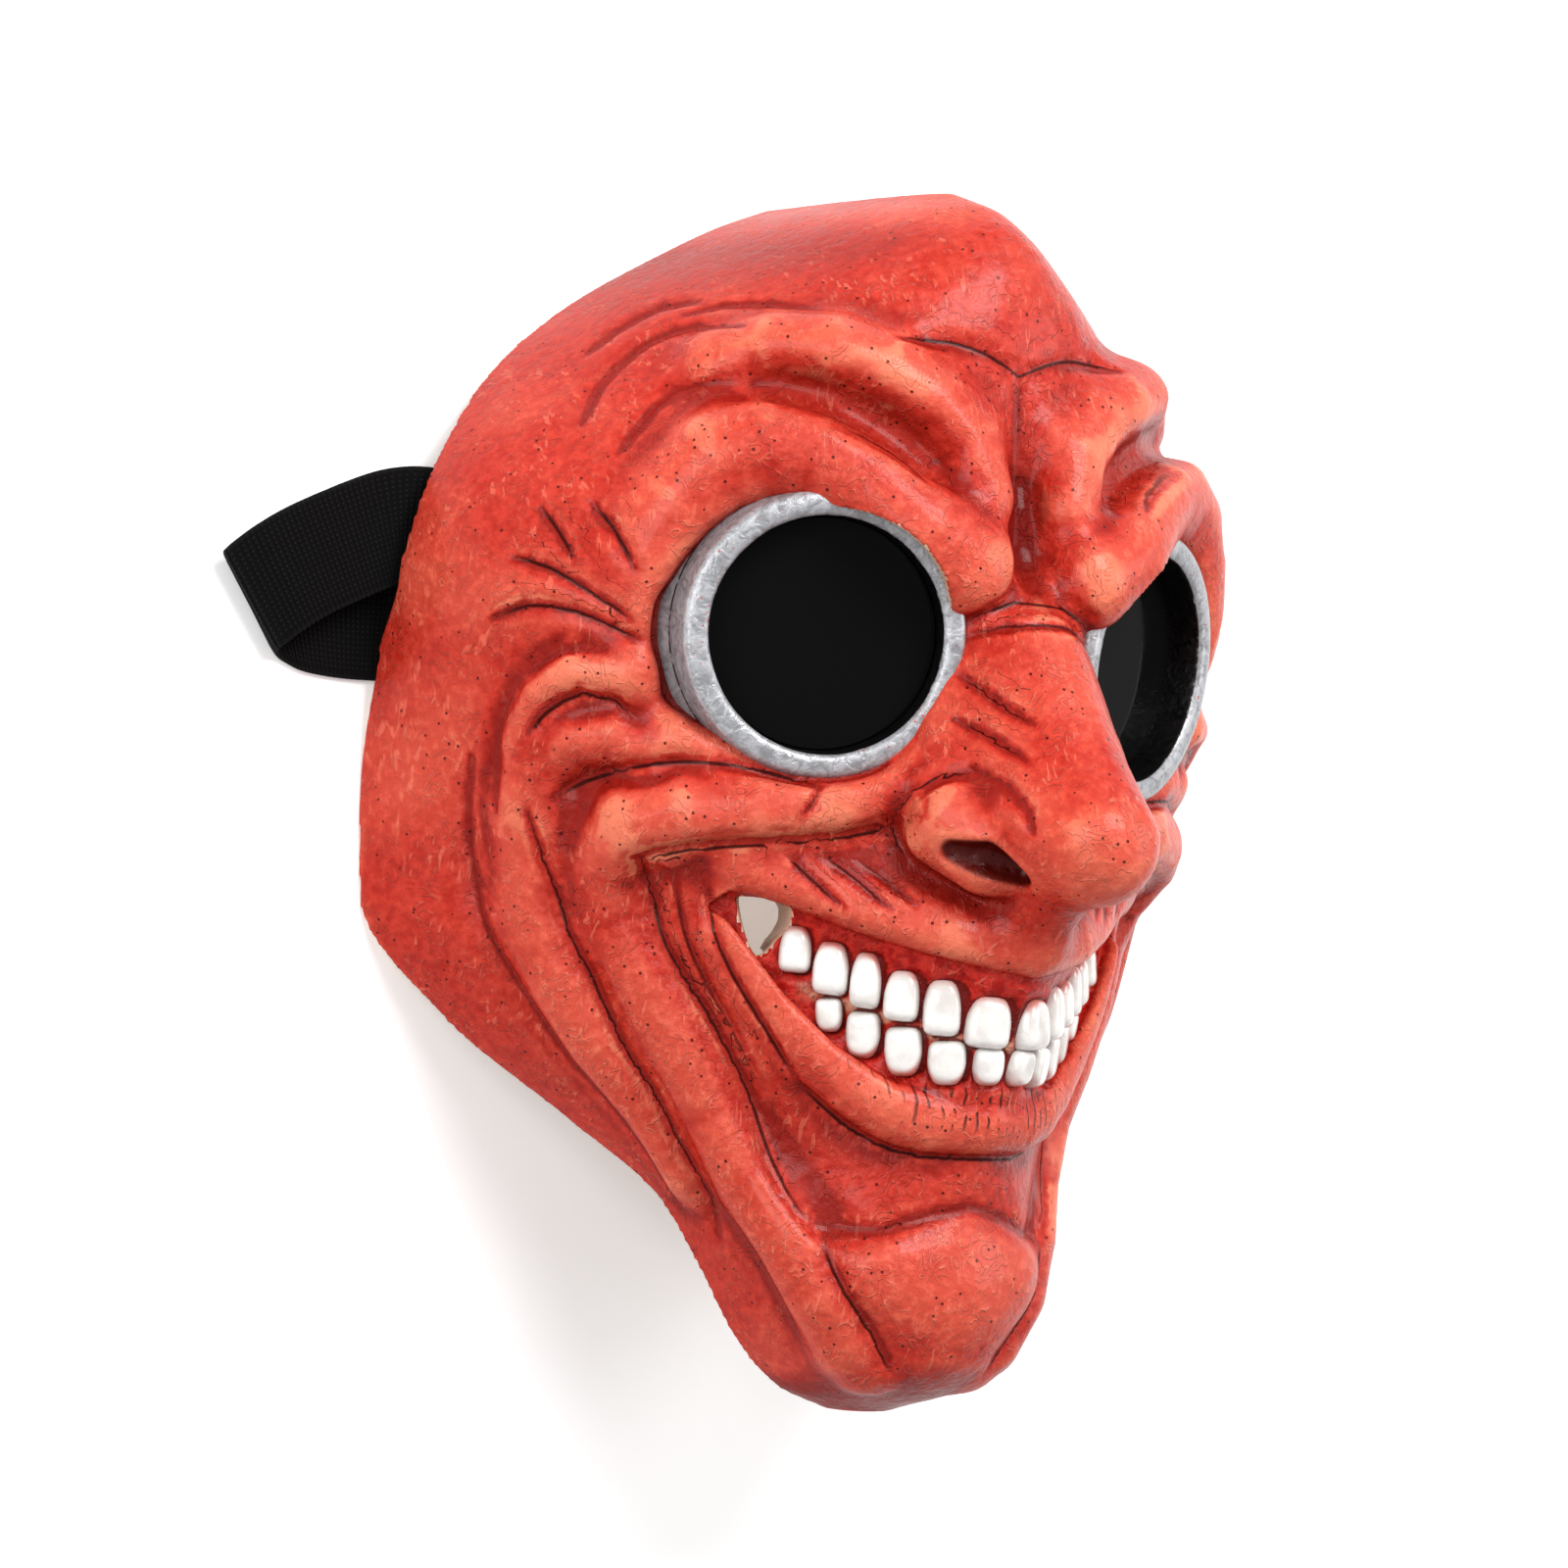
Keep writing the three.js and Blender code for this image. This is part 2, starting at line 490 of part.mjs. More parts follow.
// Closed mesh over a grid of rows, each row closed on itself below; a quad splits along its better diagonal
function meshRows(grid, field) {
  const across = grid[0].length;
  const points = grid.flat();
  const triangles = [];
  const id = (i, j) => i * across + (j % across);
  const miss = (a, b) => Math.abs(field(points[a].clone().lerp(points[b], 0.5).toArray()));
  for (let i = 0; i < grid.length - 1; i++) {
    for (let j = 0; j < across; j++) {
      const [a, b, c, d] = [id(i, j), id(i, j + 1), id(i + 1, j + 1), id(i + 1, j)];
      if (j < across - 1 && miss(b, d) < miss(a, c)) triangles.push([a, b, d], [b, c, d]);
      else triangles.push([a, b, c], [a, c, d]);
    }
  }
  for (let j = 1; j < across - 1; j++) {
    triangles.push([id(0, 0), id(0, j + 1), id(0, j)]);
    triangles.push([id(grid.length - 1, 0), id(grid.length - 1, j), id(grid.length - 1, j + 1)]);
  }
  return solidFrom(points.flatMap((p) => p.toArray()), triangles.flat());
}

// Pulls the corners of the hollow's flat facets in wherever one comes nearer to the skin than the least wall
function deepen(grid) {
  for (let pass = 0; pass < DEEPEN_PASSES; pass++) {
    for (let i = 0; i < grid.length - 1; i++) {
      for (let j = 1; j < grid[0].length - 2; j++) {
        const corners = [grid[i][j], grid[i][j + 1], grid[i + 1][j + 1], grid[i + 1][j]];
        for (const weights of FACET_SAMPLES) {
          const at = new THREE.Vector3();
          corners.forEach((corner, k) => at.addScaledVector(corner, weights[k]));
          const short = skin(at.toArray()) + MIN_WALL;
          if (short <= 0) continue;
          for (const corner of corners.filter((_, k) => weights[k] > 0)) {
            const outward = new THREE.Vector3(corner.x, 0, corner.z).normalize();
            corner.addScaledVector(outward, -DEEPEN_SHARE * short);
          }
        }
      }
    }
  }
  return grid;
}

function solidFrom(positions, indices) {
  const mesh = new wasm.Mesh({
    numProp: 3,
    vertProperties: new Float32Array(positions),
    triVerts: new Uint32Array(indices),
  });
  return new wasm.Manifold(mesh);
}

// The same geometry with its seams welded, so that it is one closed surface
function closed(geometry) {
  const bare = geometry.clone();
  bare.deleteAttribute("normal");
  bare.deleteAttribute("uv");
  return mergeVertices(bare, WELD);
}

function solidOf(geometry, matrix) {
  const merged = closed(geometry.clone().applyMatrix4(matrix));
  return solidFrom(merged.attributes.position.array, merged.index.array);
}

function geometryOf(solid) {
  const { vertProperties, triVerts } = solid.getMesh();
  const geometry = new THREE.BufferGeometry();
  geometry.setAttribute("position", new THREE.BufferAttribute(vertProperties, 3));
  geometry.setIndex(new THREE.BufferAttribute(triVerts, 1));
  return geometry;
}

// Frame of one goggle: local +Y runs out along its axis, from the centre of its front face
function eyeMatrix(side) {
  const turn = new THREE.Quaternion().setFromUnitVectors(new THREE.Vector3(0, 1, 0), eyeAxis(side));
  const centre = new THREE.Vector3(side * EYE.x, EYE.y, EYE.z);
  return new THREE.Matrix4().compose(centre, turn, new THREE.Vector3(1, 1, 1));
}

function lathe(profile, segments) {
  return new THREE.LatheGeometry(profile.map(([r, h]) => new THREE.Vector2(r, h)), segments);
}

// Goggle rim: bevelled front, and a flared base that is shifted to the outside of the face
function goggleRim(side) {
  const front = [
    [0, RIM_FOOT], [RIM_RADIUS, RIM_FOOT], [RIM_RADIUS, -RIM_BEVEL], [RIM_RADIUS - RIM_BEVEL, 0], [0, 0],
  ];
  const flare = [
    [0, RIM_FOOT], [FLARE_RADIUS, RIM_FOOT], [FLARE_RADIUS, FLARE_TOP - FLARE_SLOPE],
    [RIM_RADIUS + RIM_CLEAR, FLARE_TOP], [0, FLARE_TOP],
  ];
  const outward = eyeAcross(side).multiplyScalar(FLARE_SHIFT);
  const shifted = new THREE.Matrix4().makeTranslation(outward).multiply(eyeMatrix(side));
  return solidOf(lathe(front, RIM_SIDES), eyeMatrix(side)).add(solidOf(lathe(flare, RIM_SIDES), shifted));
}

// Bore of one goggle: wide enough for the lens down to its ledge, then narrower right through the wall
function goggleBore(side) {
  const ledge = -(LENS_DEPTH + LENS_THICKNESS + GAP);
  const profile = [
    [0, BORE_BOTTOM], [LEDGE_RADIUS, BORE_BOTTOM], [LEDGE_RADIUS, ledge], [BORE_RADIUS, ledge],
    [BORE_RADIUS, BORE_TOP], [0, BORE_TOP],
  ];
  return solidOf(lathe(profile, RIM_SIDES), eyeMatrix(side));
}

function lens(side) {
  const disc = new THREE.CylinderGeometry(LENS_RADIUS, LENS_RADIUS, LENS_THICKNESS, RIM_SIDES);
  disc.translate(0, -LENS_DEPTH - LENS_THICKNESS / 2, 0).applyMatrix4(eyeMatrix(side));
  return closed(disc);
}

// One tooth: a block with a rounded front, standing on the gum and facing out along the ray to it
function tooth(side, [angle, y, width, height]) {
  const foot = onHead(angle, y, gumLevel(angle) - TOOTH_ROOT);
  const ahead = onHead(angle, y, gumLevel(angle) + TOOTH_PROUD);
  const beside = onHead(angle + 1, y, gumLevel(angle + 1) - TOOTH_ROOT);
  const across = new THREE.Vector3(side * (beside[0] - foot[0]), 0, beside[2] - foot[2]).normalize();
  const up = new THREE.Vector3(0, 1, 0);
  const out = new THREE.Vector3().crossVectors(across, up);
  if (out.z < 0) out.negate();
  const deep = (ahead[2] - foot[2]) * out.z + side * (ahead[0] - foot[0]) * out.x;
  const points = [];
  for (const [inset, level] of [[0, 0], [0, deep - TOOTH_ROUND], [TOOTH_ROUND, deep]]) {
    const [w, h] = [width / 2 - inset, height / 2 - inset];
    const ring = [
      [w, -h + TOOTH_CORNER], [w, h - TOOTH_CORNER], [w - TOOTH_CORNER, h], [-w + TOOTH_CORNER, h],
      [-w, h - TOOTH_CORNER], [-w, -h + TOOTH_CORNER], [-w + TOOTH_CORNER, -h], [w - TOOTH_CORNER, -h],
    ];
    for (const [u, v] of ring) {
      points.push(new THREE.Vector3(side * foot[0], y, foot[2]).addScaledVector(across, u)
        .addScaledVector(up, v).addScaledVector(out, level));
    }
  }
  const triangles = [];
  const flip = new THREE.Vector3().crossVectors(across, up).dot(out) < 0;
  const add = (a, b, c) => triangles.push(...(flip ? [a, c, b] : [a, b, c]));
  for (let level = 0; level < 2; level++) {
    for (let j = 0; j < 8; j++) {
      const [a, b] = [level * 8 + j, level * 8 + ((j + 1) % 8)];
      add(a, b, b + 8);
      add(a, b + 8, a + 8);
    }
  }
  for (let j = 1; j < 7; j++) {
    add(0, j + 1, j);
    add(16, 16 + j, 16 + j + 1);
  }
  return solidFrom(points.flatMap((p) => p.toArray()), triangles);
}

// Prism through the corner of the mouth, its outline carried along the rays from the rim plane
function cornerHole(side) {
  const positions = [];
  const indices = [];
  const n = CORNER_HOLE.length;
  for (const lift of [CORNER_HOLE_FROM, CORNER_HOLE_TO]) {
    for (const [angle, y] of CORNER_HOLE) {
      const [x, , z] = onHead(angle, y, lift);
      positions.push(side * x, y, z);
    }
  }
  const add = (a, b, c) => indices.push(...(side > 0 ? [a, b, c] : [a, c, b]));
  for (let i = 0; i < n; i++) {
    const j = (i + 1) % n;
    add(i, j, n + j);
    add(i, n + j, n + i);
  }
  for (let i = 1; i < n - 1; i++) {
    add(0, i + 1, i);
    add(n, n + i, n + i + 1);
  }
  return solidFrom(positions, indices);
}

function maskShell() {
  const outer = meshRows(faceRows(skin, ROWS, COLUMNS, Y_LOW, Y_HIGH, 0), skin);
  const hollowRows = faceRows(hollow, HOLLOW_ROWS, HOLLOW_COLUMNS, Y_LOW + WALL, Y_HIGH - WALL, HOLLOW_DROP);
  const inner = meshRows(deepen(hollowRows), hollow);
  let body = outer;
  for (const side of [-1, 1]) {
    body = body.add(goggleRim(side)).subtract(cornerHole(side));
    for (const size of [...UPPER_TEETH, ...LOWER_TEETH]) body = body.add(tooth(side, size));
  }
  body = body.subtract(inner);
  for (const side of [-1, 1]) body = body.subtract(goggleBore(side));
  return body;
}

// Elastic strap: a flat band along its path, its width always level
function strap() {
  const points = STRAP_PATH.map(([x, y, z]) => new THREE.Vector3(x, y, z));
  const curve = new THREE.CatmullRomCurve3(points, false, "centripetal");
  const steps = Math.round(curve.getLength() / STRAP_STEP);
  const positions = [];
  for (let i = 0; i <= steps; i++) {
    const t = curve.getUtoTmapping(i / steps);
    const leg = Math.min(Math.floor(t * (STRAP_PATH.length - 1)), STRAP_PATH.length - 2);
    const lean = lerp(STRAP_PATH[leg][3], STRAP_PATH[leg + 1][3], t * (STRAP_PATH.length - 1) - leg);
    const wide = new THREE.Vector3(0, 1, 0).applyAxisAngle(UPRIGHT, THREE.MathUtils.degToRad(lean));
    const thick = new THREE.Vector3().crossVectors(curve.getTangent(t), wide).normalize();
    for (const [u, v] of [[-1, -1], [1, -1], [1, 1], [-1, 1]]) {
      const corner = curve.getPoint(t).addScaledVector(wide, (u * STRAP_WIDTH) / 2);
      positions.push(...corner.addScaledVector(thick, (v * STRAP_THICKNESS) / 2).toArray());
    }
  }
  const indices = [0, 2, 1, 0, 3, 2];
  for (let i = 0; i < steps; i++) {
    for (let j = 0; j < 4; j++) {
      const [a, b] = [4 * i + j, 4 * i + ((j + 1) % 4)];
      indices.push(a, b, b + 4, a, b + 4, a + 4);
    }
  }
  const end = 4 * steps;
  indices.push(end, end + 1, end + 2, end, end + 2, end + 3);
  const geometry = new THREE.BufferGeometry();
  geometry.setAttribute("position", new THREE.Float32BufferAttribute(positions, 3));
  geometry.setIndex(indices);
  return geometry;
}

function part(name, geometry, colour, roughness) {
  const material = new THREE.MeshStandardMaterial({ color: colour, roughness, metalness: 0 });
  const mesh = new THREE.Mesh(geometry, material);
  mesh.name = name;
  return mesh;
}

const mask = new THREE.Group();
mask.add(
  part("mask_shell", geometryOf(maskShell()), COLOURS.skin, 0.5),
  part("lens_right", lens(-1), COLOURS.lens, 0.1),
  part("lens_left", lens(1), COLOURS.lens, 0.1),
  part("elastic_strap", strap(), COLOURS.strap, 0.9),
);

// The origin is on the table, under the middle of the whole part, strap included
const middle = new THREE.Box3().setFromObject(mask).getCenter(new THREE.Vector3());
for (const piece of mask.children) piece.geometry.translate(-middle.x, -middle.y, 0);

export default mask;
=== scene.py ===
"""Grinning devil mask lying face up on a pale floor: painted latex, tinted goggles and an elastic strap."""

import math

import bpy
import numpy as np
from mathutils import Matrix, Vector


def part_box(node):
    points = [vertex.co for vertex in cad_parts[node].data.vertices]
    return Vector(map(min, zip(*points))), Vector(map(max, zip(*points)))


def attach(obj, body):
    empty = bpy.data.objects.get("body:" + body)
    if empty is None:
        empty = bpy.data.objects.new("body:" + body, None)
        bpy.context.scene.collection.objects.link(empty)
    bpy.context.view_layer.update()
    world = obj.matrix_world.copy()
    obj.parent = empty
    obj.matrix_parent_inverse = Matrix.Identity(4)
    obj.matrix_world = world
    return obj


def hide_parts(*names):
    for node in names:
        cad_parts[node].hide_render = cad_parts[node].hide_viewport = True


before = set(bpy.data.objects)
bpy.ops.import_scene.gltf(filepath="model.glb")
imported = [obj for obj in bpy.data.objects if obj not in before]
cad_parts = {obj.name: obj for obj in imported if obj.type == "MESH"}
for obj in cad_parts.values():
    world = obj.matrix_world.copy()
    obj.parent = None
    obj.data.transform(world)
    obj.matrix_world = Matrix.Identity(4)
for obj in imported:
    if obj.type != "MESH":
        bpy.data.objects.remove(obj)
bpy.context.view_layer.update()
MM = 0.001

# The face is worked out in millimetres round its own middle plane x = 0, which lies beside the row's origin
MIDDLE_Y = 3.05
shell_low, shell_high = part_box("mask_shell")
SHIFT = np.array([(shell_low.x + shell_high.x) / 2 / MM, (shell_low.y + shell_high.y) / 2 / MM - MIDDLE_Y,
                  0.0])

# Camera
YAW, PITCH, ROLL = math.radians(35), math.radians(1), math.radians(4)
DISTANCE = 1060
TARGET = Vector((6.533, 5.646, 4.695))
FOCAL_LENGTH, SENSOR_WIDTH = 104.94, 36
BACK = Vector((-math.sin(YAW) * math.cos(PITCH), -math.sin(PITCH), math.cos(YAW) * math.cos(PITCH)))
level_up = (Vector((0, 1, 0)) - BACK * BACK.y).normalized()
level_right = level_up.cross(BACK)
camera_up = level_up * math.cos(ROLL) - level_right * math.sin(ROLL)
camera_right = level_right * math.cos(ROLL) + level_up * math.sin(ROLL)
lens_data = bpy.data.cameras.new("camera")
lens_data.lens, lens_data.sensor_width = FOCAL_LENGTH, SENSOR_WIDTH
camera = bpy.data.objects.new("camera", lens_data)
bpy.context.collection.objects.link(camera)
camera.matrix_world = (Matrix.Translation((TARGET + BACK * DISTANCE + Vector(SHIFT)) * MM)
                       @ Matrix((camera_right, camera_up, BACK)).transposed().to_4x4())
bpy.context.scene.camera = camera

# Head
# Sections of the bare head down the face: height y, half width, front depth, rim height, squareness (mm)
SECTIONS = [
    (-132, 7, 64, 58, 2.0), (-127, 19, 77, 54, 2.0), (-117, 27, 93, 48, 2.0), (-102, 34.5, 97, 43, 2.0),
    (-87, 43, 95, 37, 1.85), (-72, 59, 96, 24, 1.55), (-52, 83.5, 103, 10, 1.38),
    (-27, 101.5, 108, 0, 1.32), (0, 103.5, 103, 0, 1.55), (27, 104, 99, 5, 1.9), (43, 104.5, 99, 12, 2.0),
    (59, 101.5, 98, 13, 2.0), (76, 92.5, 95, 9, 2.0), (95, 76, 93, 2, 2.0), (110, 57.5, 92, 0, 2.0),
    (123, 36.5, 88, 0, 2.0), (132, 20, 79, 0, 2.0), (138, 6, 62, 0, 2.0),
]
Y_LOW, Y_HIGH = -131.6, 137.7
WALL = 2.8
CELL = 1.0
MOST_TRIANGLES = 190000

# Goggles: centre of the front face, how far it turns out and down
EYE = np.array([44.3, 35.8, 89.5])
EYE_OUT, EYE_DOWN = math.radians(25), math.radians(5)
EYE_AXIS = np.array([math.sin(EYE_OUT) * math.cos(EYE_DOWN), -math.sin(EYE_DOWN),
                     math.cos(EYE_OUT) * math.cos(EYE_DOWN)])
EYE_ACROSS = np.array([1.0, 0, 0]) - EYE_AXIS * EYE_AXIS[0]
EYE_ACROSS /= np.linalg.norm(EYE_ACROSS)
BORE_RADIUS = 25.0
# Seat cleared in the skin for the goggle, before and after the rolls: radius, depth under its front, blend.
# Towards the temple it is wider by SEAT_SHIFT
SEAT_UNDER, SEAT_FRONT = (34.0, 11.0, 6.0), (31.0, 1.0, 3.0)
SEAT_SHIFT = 2.2

# Rolls of one half: blend, then balls as angle from straight ahead, y, height over the head and radius
ROLLS = {
    "lid": (5, [(18, 6, 3, 6), (23, 3, 4, 6.5), (30, 3, 4, 7), (38, 6, 4, 7), (45, 11, 3, 6)]),
    "cheek": (4, [(17, 4, 4, 7), (24, -1, 6, 8.5), (33, -2, 8, 9.5), (42, -3, 9, 10), (49, -6, 8, 10),
                  (54, -14, 3.5, 9.5), (54, -26, 0.8, 9.5), (50, -40, 1.8, 9), (48, -54, 2.8, 9),
                  (47, -66, 4.2, 9), (47, -80, 6.2, 9), (42.5, -92, 8, 8.5), (36.5, -104, 7.5, 8),
                  (29.5, -114, 5, 7.5), (24, -118, 1.5, 6)]),
    "pouch_low": (3.5, [(48, 8, 3, 6), (53, 12, 4, 6), (58, 11, 4, 6), (62, 5, 3, 6)]),
    "pouch_high": (3.5, [(53, 25, 3, 6), (59, 25, 4, 6.5), (63, 20, 3.5, 7), (65, 10, 3, 8),
                         (65, -4, 3, 8)]),
    "outer_fold": (5, [(65, -2, 2.5, 8), (65, -12, 3, 8), (65, -25, 3, 8), (64, -41, 3, 8),
                       (63, -53, 3, 8), (62, -65, 3, 8), (66, -80, 2.5, 7)]),
    "front_roll": (8, [(44, 92, 4, 8), (36, 95, 7.5, 9), (28, 95, 9.5, 9.5), (21, 92, 8.5, 9),
                       (15, 87, 7.5, 9), (10, 79, 7.5, 8.5), (7.5, 68, 7.5, 8)]),
    "upper_lip": (6, [(0, -28, 7, 9), (8, -26, 6, 9), (17, -22, 4.5, 8), (26, -17, 3, 7),
                      (34, -14, 2.5, 6)]),
    "lower_lip": (4, [(0, -65, 5, 8), (8, -65, 5, 8), (14, -63, 5, 8), (20, -59, 4, 7), (26, -51, 3, 6),
                      (32, -40, 2.5, 5), (37, -28, 2, 4.5)]),
}
# The brow laps over the goggle, so it joins after the goggle's seat is cleared
BROW = (6, [(56, 52, 1.5, 8), (52, 62, 4.5, 9), (46, 71, 8, 11), (39, 75, 9, 11.5), (32, 74, 9, 11),
            (25, 68, 9.5, 11), (18, 59, 12, 11), (11, 53, 12, 11.5)])
# Balls in plain x, y, z and radius
NOSE = (6, [(0, 47, 97, 8), (0, 29, 108.5, 9), (0, 11, 119.5, 10.5), (0, -4, 128.5, 13.6)])
NOSE_SIDE = (7, [(6, 42, 92, 8.5), (6.5, 29, 102, 9.5), (7, 11, 111, 11), (7, -1, 117, 12)])
NOSE_FOOT = (9, [(12, 40, 83, 9), (13, 25, 91, 10.5), (13, 9, 98, 12)])
COLUMELLA = (6, [(0, -7, 122, 8), (0, -20, 109, 9)])
ALA = (3, [(18, -0.5, 102.5, 11.5), (12.5, -5.5, 109.5, 11.2)])
NOSTRIL = (2.5, [(23.7, -8, 111, 2.2), (18.5, -9, 116, 3.6), (11, -11, 118.5, 2.6)])
CHIN = (9, [(0, -99, 81, 14.5), (12, -99, 79, 14.5), (9, -110, 75.5, 12.5), (0, -110, 76, 12.5)])

# Mouth opening seen from the front: upper and lower lip line, y at distances x from the middle
LIP_X = [0, 12, 21, 32, 42, 49, 53, 55]
LIP_TOP = [-33.5, -31.5, -29.5, -26, -22, -19.8, -19.8, -23]
LIP_LOW = [-57.5, -58, -57, -50, -40, -30.5, -25, -23]
GUM_DEPTH = 4.5
# The gum stands further forward in the middle: by how much, and over what angle it falls away
GUM_RISE, GUM_RISE_ANGLE = 5.0, 16.0
# Hole through the gum at each corner of the mouth: outline as angle and y
CORNER_HOLE = [(35.3, -20.4), (31.7, -20.4), (28, -21.4), (27.6, -25.5), (29.6, -29.5), (32, -32.8),
               (33.7, -28)]
HOLE_TOP = -2.5
# Teeth from the middle outwards: angle, y of the centre, width, height
UPPER_TEETH = [(3.0, -43.5, 9.9, 11), (8.3, -41.1, 8.2, 11.8), (12.9, -39.2, 7.7, 10.6),
               (17.2, -36.5, 6.7, 11.6), (21.6, -34.5, 7.8, 11), (26.3, -31, 7, 9.6)]
LOWER_TEETH = [(2.1, -52.7, 6.9, 7.8), (7.1, -52.4, 8.4, 9.2), (12.5, -50.6, 8.2, 10.2),
               (17.7, -47.7, 7.5, 9.6), (22.2, -44.1, 5.9, 7)]
# Where the two rows meet: angles and y
BITE_LINE = [(0, 8, 15, 22, 27, 34), (-48.5, -47.3, -44.5, -41, -38.5, -34)]
TOOTH_PROUD = 3.6
GUM_MM_PER_DEGREE = 1.75
# The gum swells between the teeth, over this far from their outlines, and runs on under the lips
GUM_SWELL, GUM_SWELL_REACH, GUM_UNDER_LIP = 1.8, 2.4, 3.0
LIP_BLEND = 2.5

# Strokes pressed along the face: depth, half width, then points as angle from straight ahead and y. Each is
# a soft valley SHOULDER times as wide, with a narrower line in its bottom
SHOULDER = 1.7
VALLEY_SHARE, LINE_SHARE, LINE_WIDTH = 0.6, 0.4, 0.35
STROKES = {
    "fold_deep": (5.5, 4.0, [(15, 3), (16, -3), (21, -6), (27, -8), (36, -10), (43, -12), (48, -15),
                             (47, -23), (45, -33), (41, -48), (39, -62), (40, -78), (39, -86), (34, -91)]),
    "fold_inner": (1.6, 2.4, [(44, -17), (43, -25), (41, -36), (38, -50), (36, -62)]),
    "fold_mid": (3.6, 3.5, [(63, -6), (62, -16), (60, -26), (58, -40), (58, -55), (58, -66), (63, -82),
                            (70, -94)]),
    "fold_outer": (2.8, 3.5, [(72, 5), (73, -8), (73, -19), (71, -41), (71, -58), (72, -74), (81, -88)]),
    "pouch_edge": (2.4, 3.0, [(56, 30), (61, 29), (65, 23), (68, 13), (68, 4), (68, -6)]),
    "pouch_crease": (2.6, 3.0, [(63, 11), (61, 16), (57, 20), (53, 19), (50, 15)]),
    "lid_crease": (2.8, 3.0, [(60, -2), (56, 2), (50, 5), (44, 7), (36, 7), (26, 4)]),
    "lid_branch": (1.6, 2.2, [(26, 4), (27, 0), (28, -3)]),
    "crow_1": (3.0, 2.4, [(71, 48), (66, 46), (60, 41), (54, 36)]),
    "crow_2": (2.8, 2.4, [(72, 35), (68, 38), (61, 37), (52, 32)]),
    "crow_3": (2.6, 2.6, [(62, 60), (58, 54), (55, 47)]),
    "crow_4": (2.2, 2.6, [(69, 59), (66, 54), (63, 48)]),
    "brow_hollow": (9.0, 7.0, [(42, 88), (36, 88.5), (30, 86.5), (24, 83), (18.5, 78), (14.5, 71)]),
    "brow_crease": (1.6, 2.0, [(30, 80.5), (26, 78), (21, 73.5), (18, 69)]),
    "frown": (4.6, 4.4, [(0, 97), (0, 88), (0, 78), (0, 68), (0, 58)]),
    "frown_low": (6.5, 8.5, [(0, 76), (0, 68), (0, 60), (0, 52)]),
    "forehead": (2.6, 2.6, [(19, 100.5), (11, 101), (5, 99), (0, 95.5)]),
    "nasion": (3.4, 3.0, [(11, 41), (8, 43.5), (4, 46), (0, 46)]),
    "nasion_low": (1.8, 2.0, [(10, 38), (6, 40.5), (2.5, 41.5), (0, 41.5)]),
    "temple_1": (2.2, 3.2, [(65, 78), (63, 88), (57, 98), (49, 102), (40, 101)]),
    "temple_2": (2.2, 3.2, [(59, 72), (56, 79), (51, 86), (41, 89)]),
    "temple_3": (1.8, 3.0, [(68, 95), (65, 101), (58, 107), (50, 108)]),
    "nose_side_1": (2.4, 2.2, [(10.8, 29.5), (9.1, 27), (8.1, 24.7), (6.7, 22.2), (5.5, 20)]),
    "nose_side_2": (2.2, 2.2, [(11.5, 20), (9.5, 17.9), (8, 15.2), (6.6, 12.2)]),
    "ala_groove": (3.4, 2.6, [(14, -10), (15.4, -7), (16.4, -1.5), (15.6, 3.8), (13.1, 7.6), (9.7, 9.4)]),
    "ala_top": (2.2, 2.6, [(10.5, 9.6), (8.3, 6.5), (7.3, 1.9), (6.9, -3)]),
    "lip_fan_1": (1.8, 2.0, [(30, -10), (25.7, -16), (22, -21)]),
    "lip_fan_2": (1.8, 2.0, [(25, -10), (20.5, -15), (16.5, -21)]),
    "lip_fan_3": (1.4, 1.8, [(21, -10), (17.5, -14), (13.5, -20)]),
    "mouth_corner": (2.2, 2.4, [(39, -20), (38, -28), (36, -37), (32, -51), (30, -57)]),
    "chin_crease": (2.8, 4.2, [(38, -88.5), (31, -89.3), (21, -89), (10, -85.5), (0, -83.5)]),
    "chin_side": (2.4, 3.5, [(35, -93), (31, -103), (25, -111), (19, -120)]),
    "under_lip": (2.2, 2.6, [(29.5, -59), (23.5, -67), (15, -72.3), (6, -73.3), (0, -73)]),
    "temple_4": (1.2, 2.2, [(52, 104.5), (45, 107), (37, 107.5), (30, 106)]),
}

# Strokes with no dark line in the bottom, and strokes with little of it; the line is partly paint, partly
# painted shade
SOFT_STROKES = ("brow_hollow", "frown", "frown_low", "ala_top")
FAINT_STROKES = ("temple_1", "temple_2", "temple_3", "temple_4", "chin_crease", "pouch_edge", "fold_outer")
# How far a line's paint and painted shade are followed, and how deep a stroke is before its line is fully
# dark
LINE_REACH, FULL_DARK_DEPTH = 6.0, 2.4


def section_curves(keys):
    """Smooth curves through the section table that never overshoot it, sampled every quarter millimetre."""
    k = np.array(keys, float)
    y, v = k[:, 0], k[:, 1:]
    h, s = np.diff(y)[:, None], np.diff(v, axis=0) / np.diff(y)[:, None]
    m = np.zeros_like(v)
    w1, w2 = 2 * h[1:] + h[:-1], h[1:] + 2 * h[:-1]
    with np.errstate(divide="ignore", invalid="ignore"):
        mid = (w1 + w2) / (w1 / s[:-1] + w2 / s[1:])
    m[1:-1] = np.where(s[:-1] * s[1:] > 0, mid, 0)
    m[0], m[-1] = s[0], s[-1]
    g = np.arange(y[0], y[-1] + 0.01, 0.25)
    i = np.clip(np.searchsorted(y, g, side="right") - 1, 0, len(y) - 2)
    t = ((g - y[i]) / h[i, 0])[:, None]
    out = ((1 + 2 * t) * (1 - t) ** 2 * v[i] + t * (1 - t) ** 2 * h[i] * m[i]
           + t * t * (3 - 2 * t) * v[i + 1] + t * t * (t - 1) * h[i] * m[i + 1])
    return g, out


GRID_Y, TABLE = section_curves(SECTIONS)
SLOPE = np.gradient(TABLE, GRID_Y, axis=0)


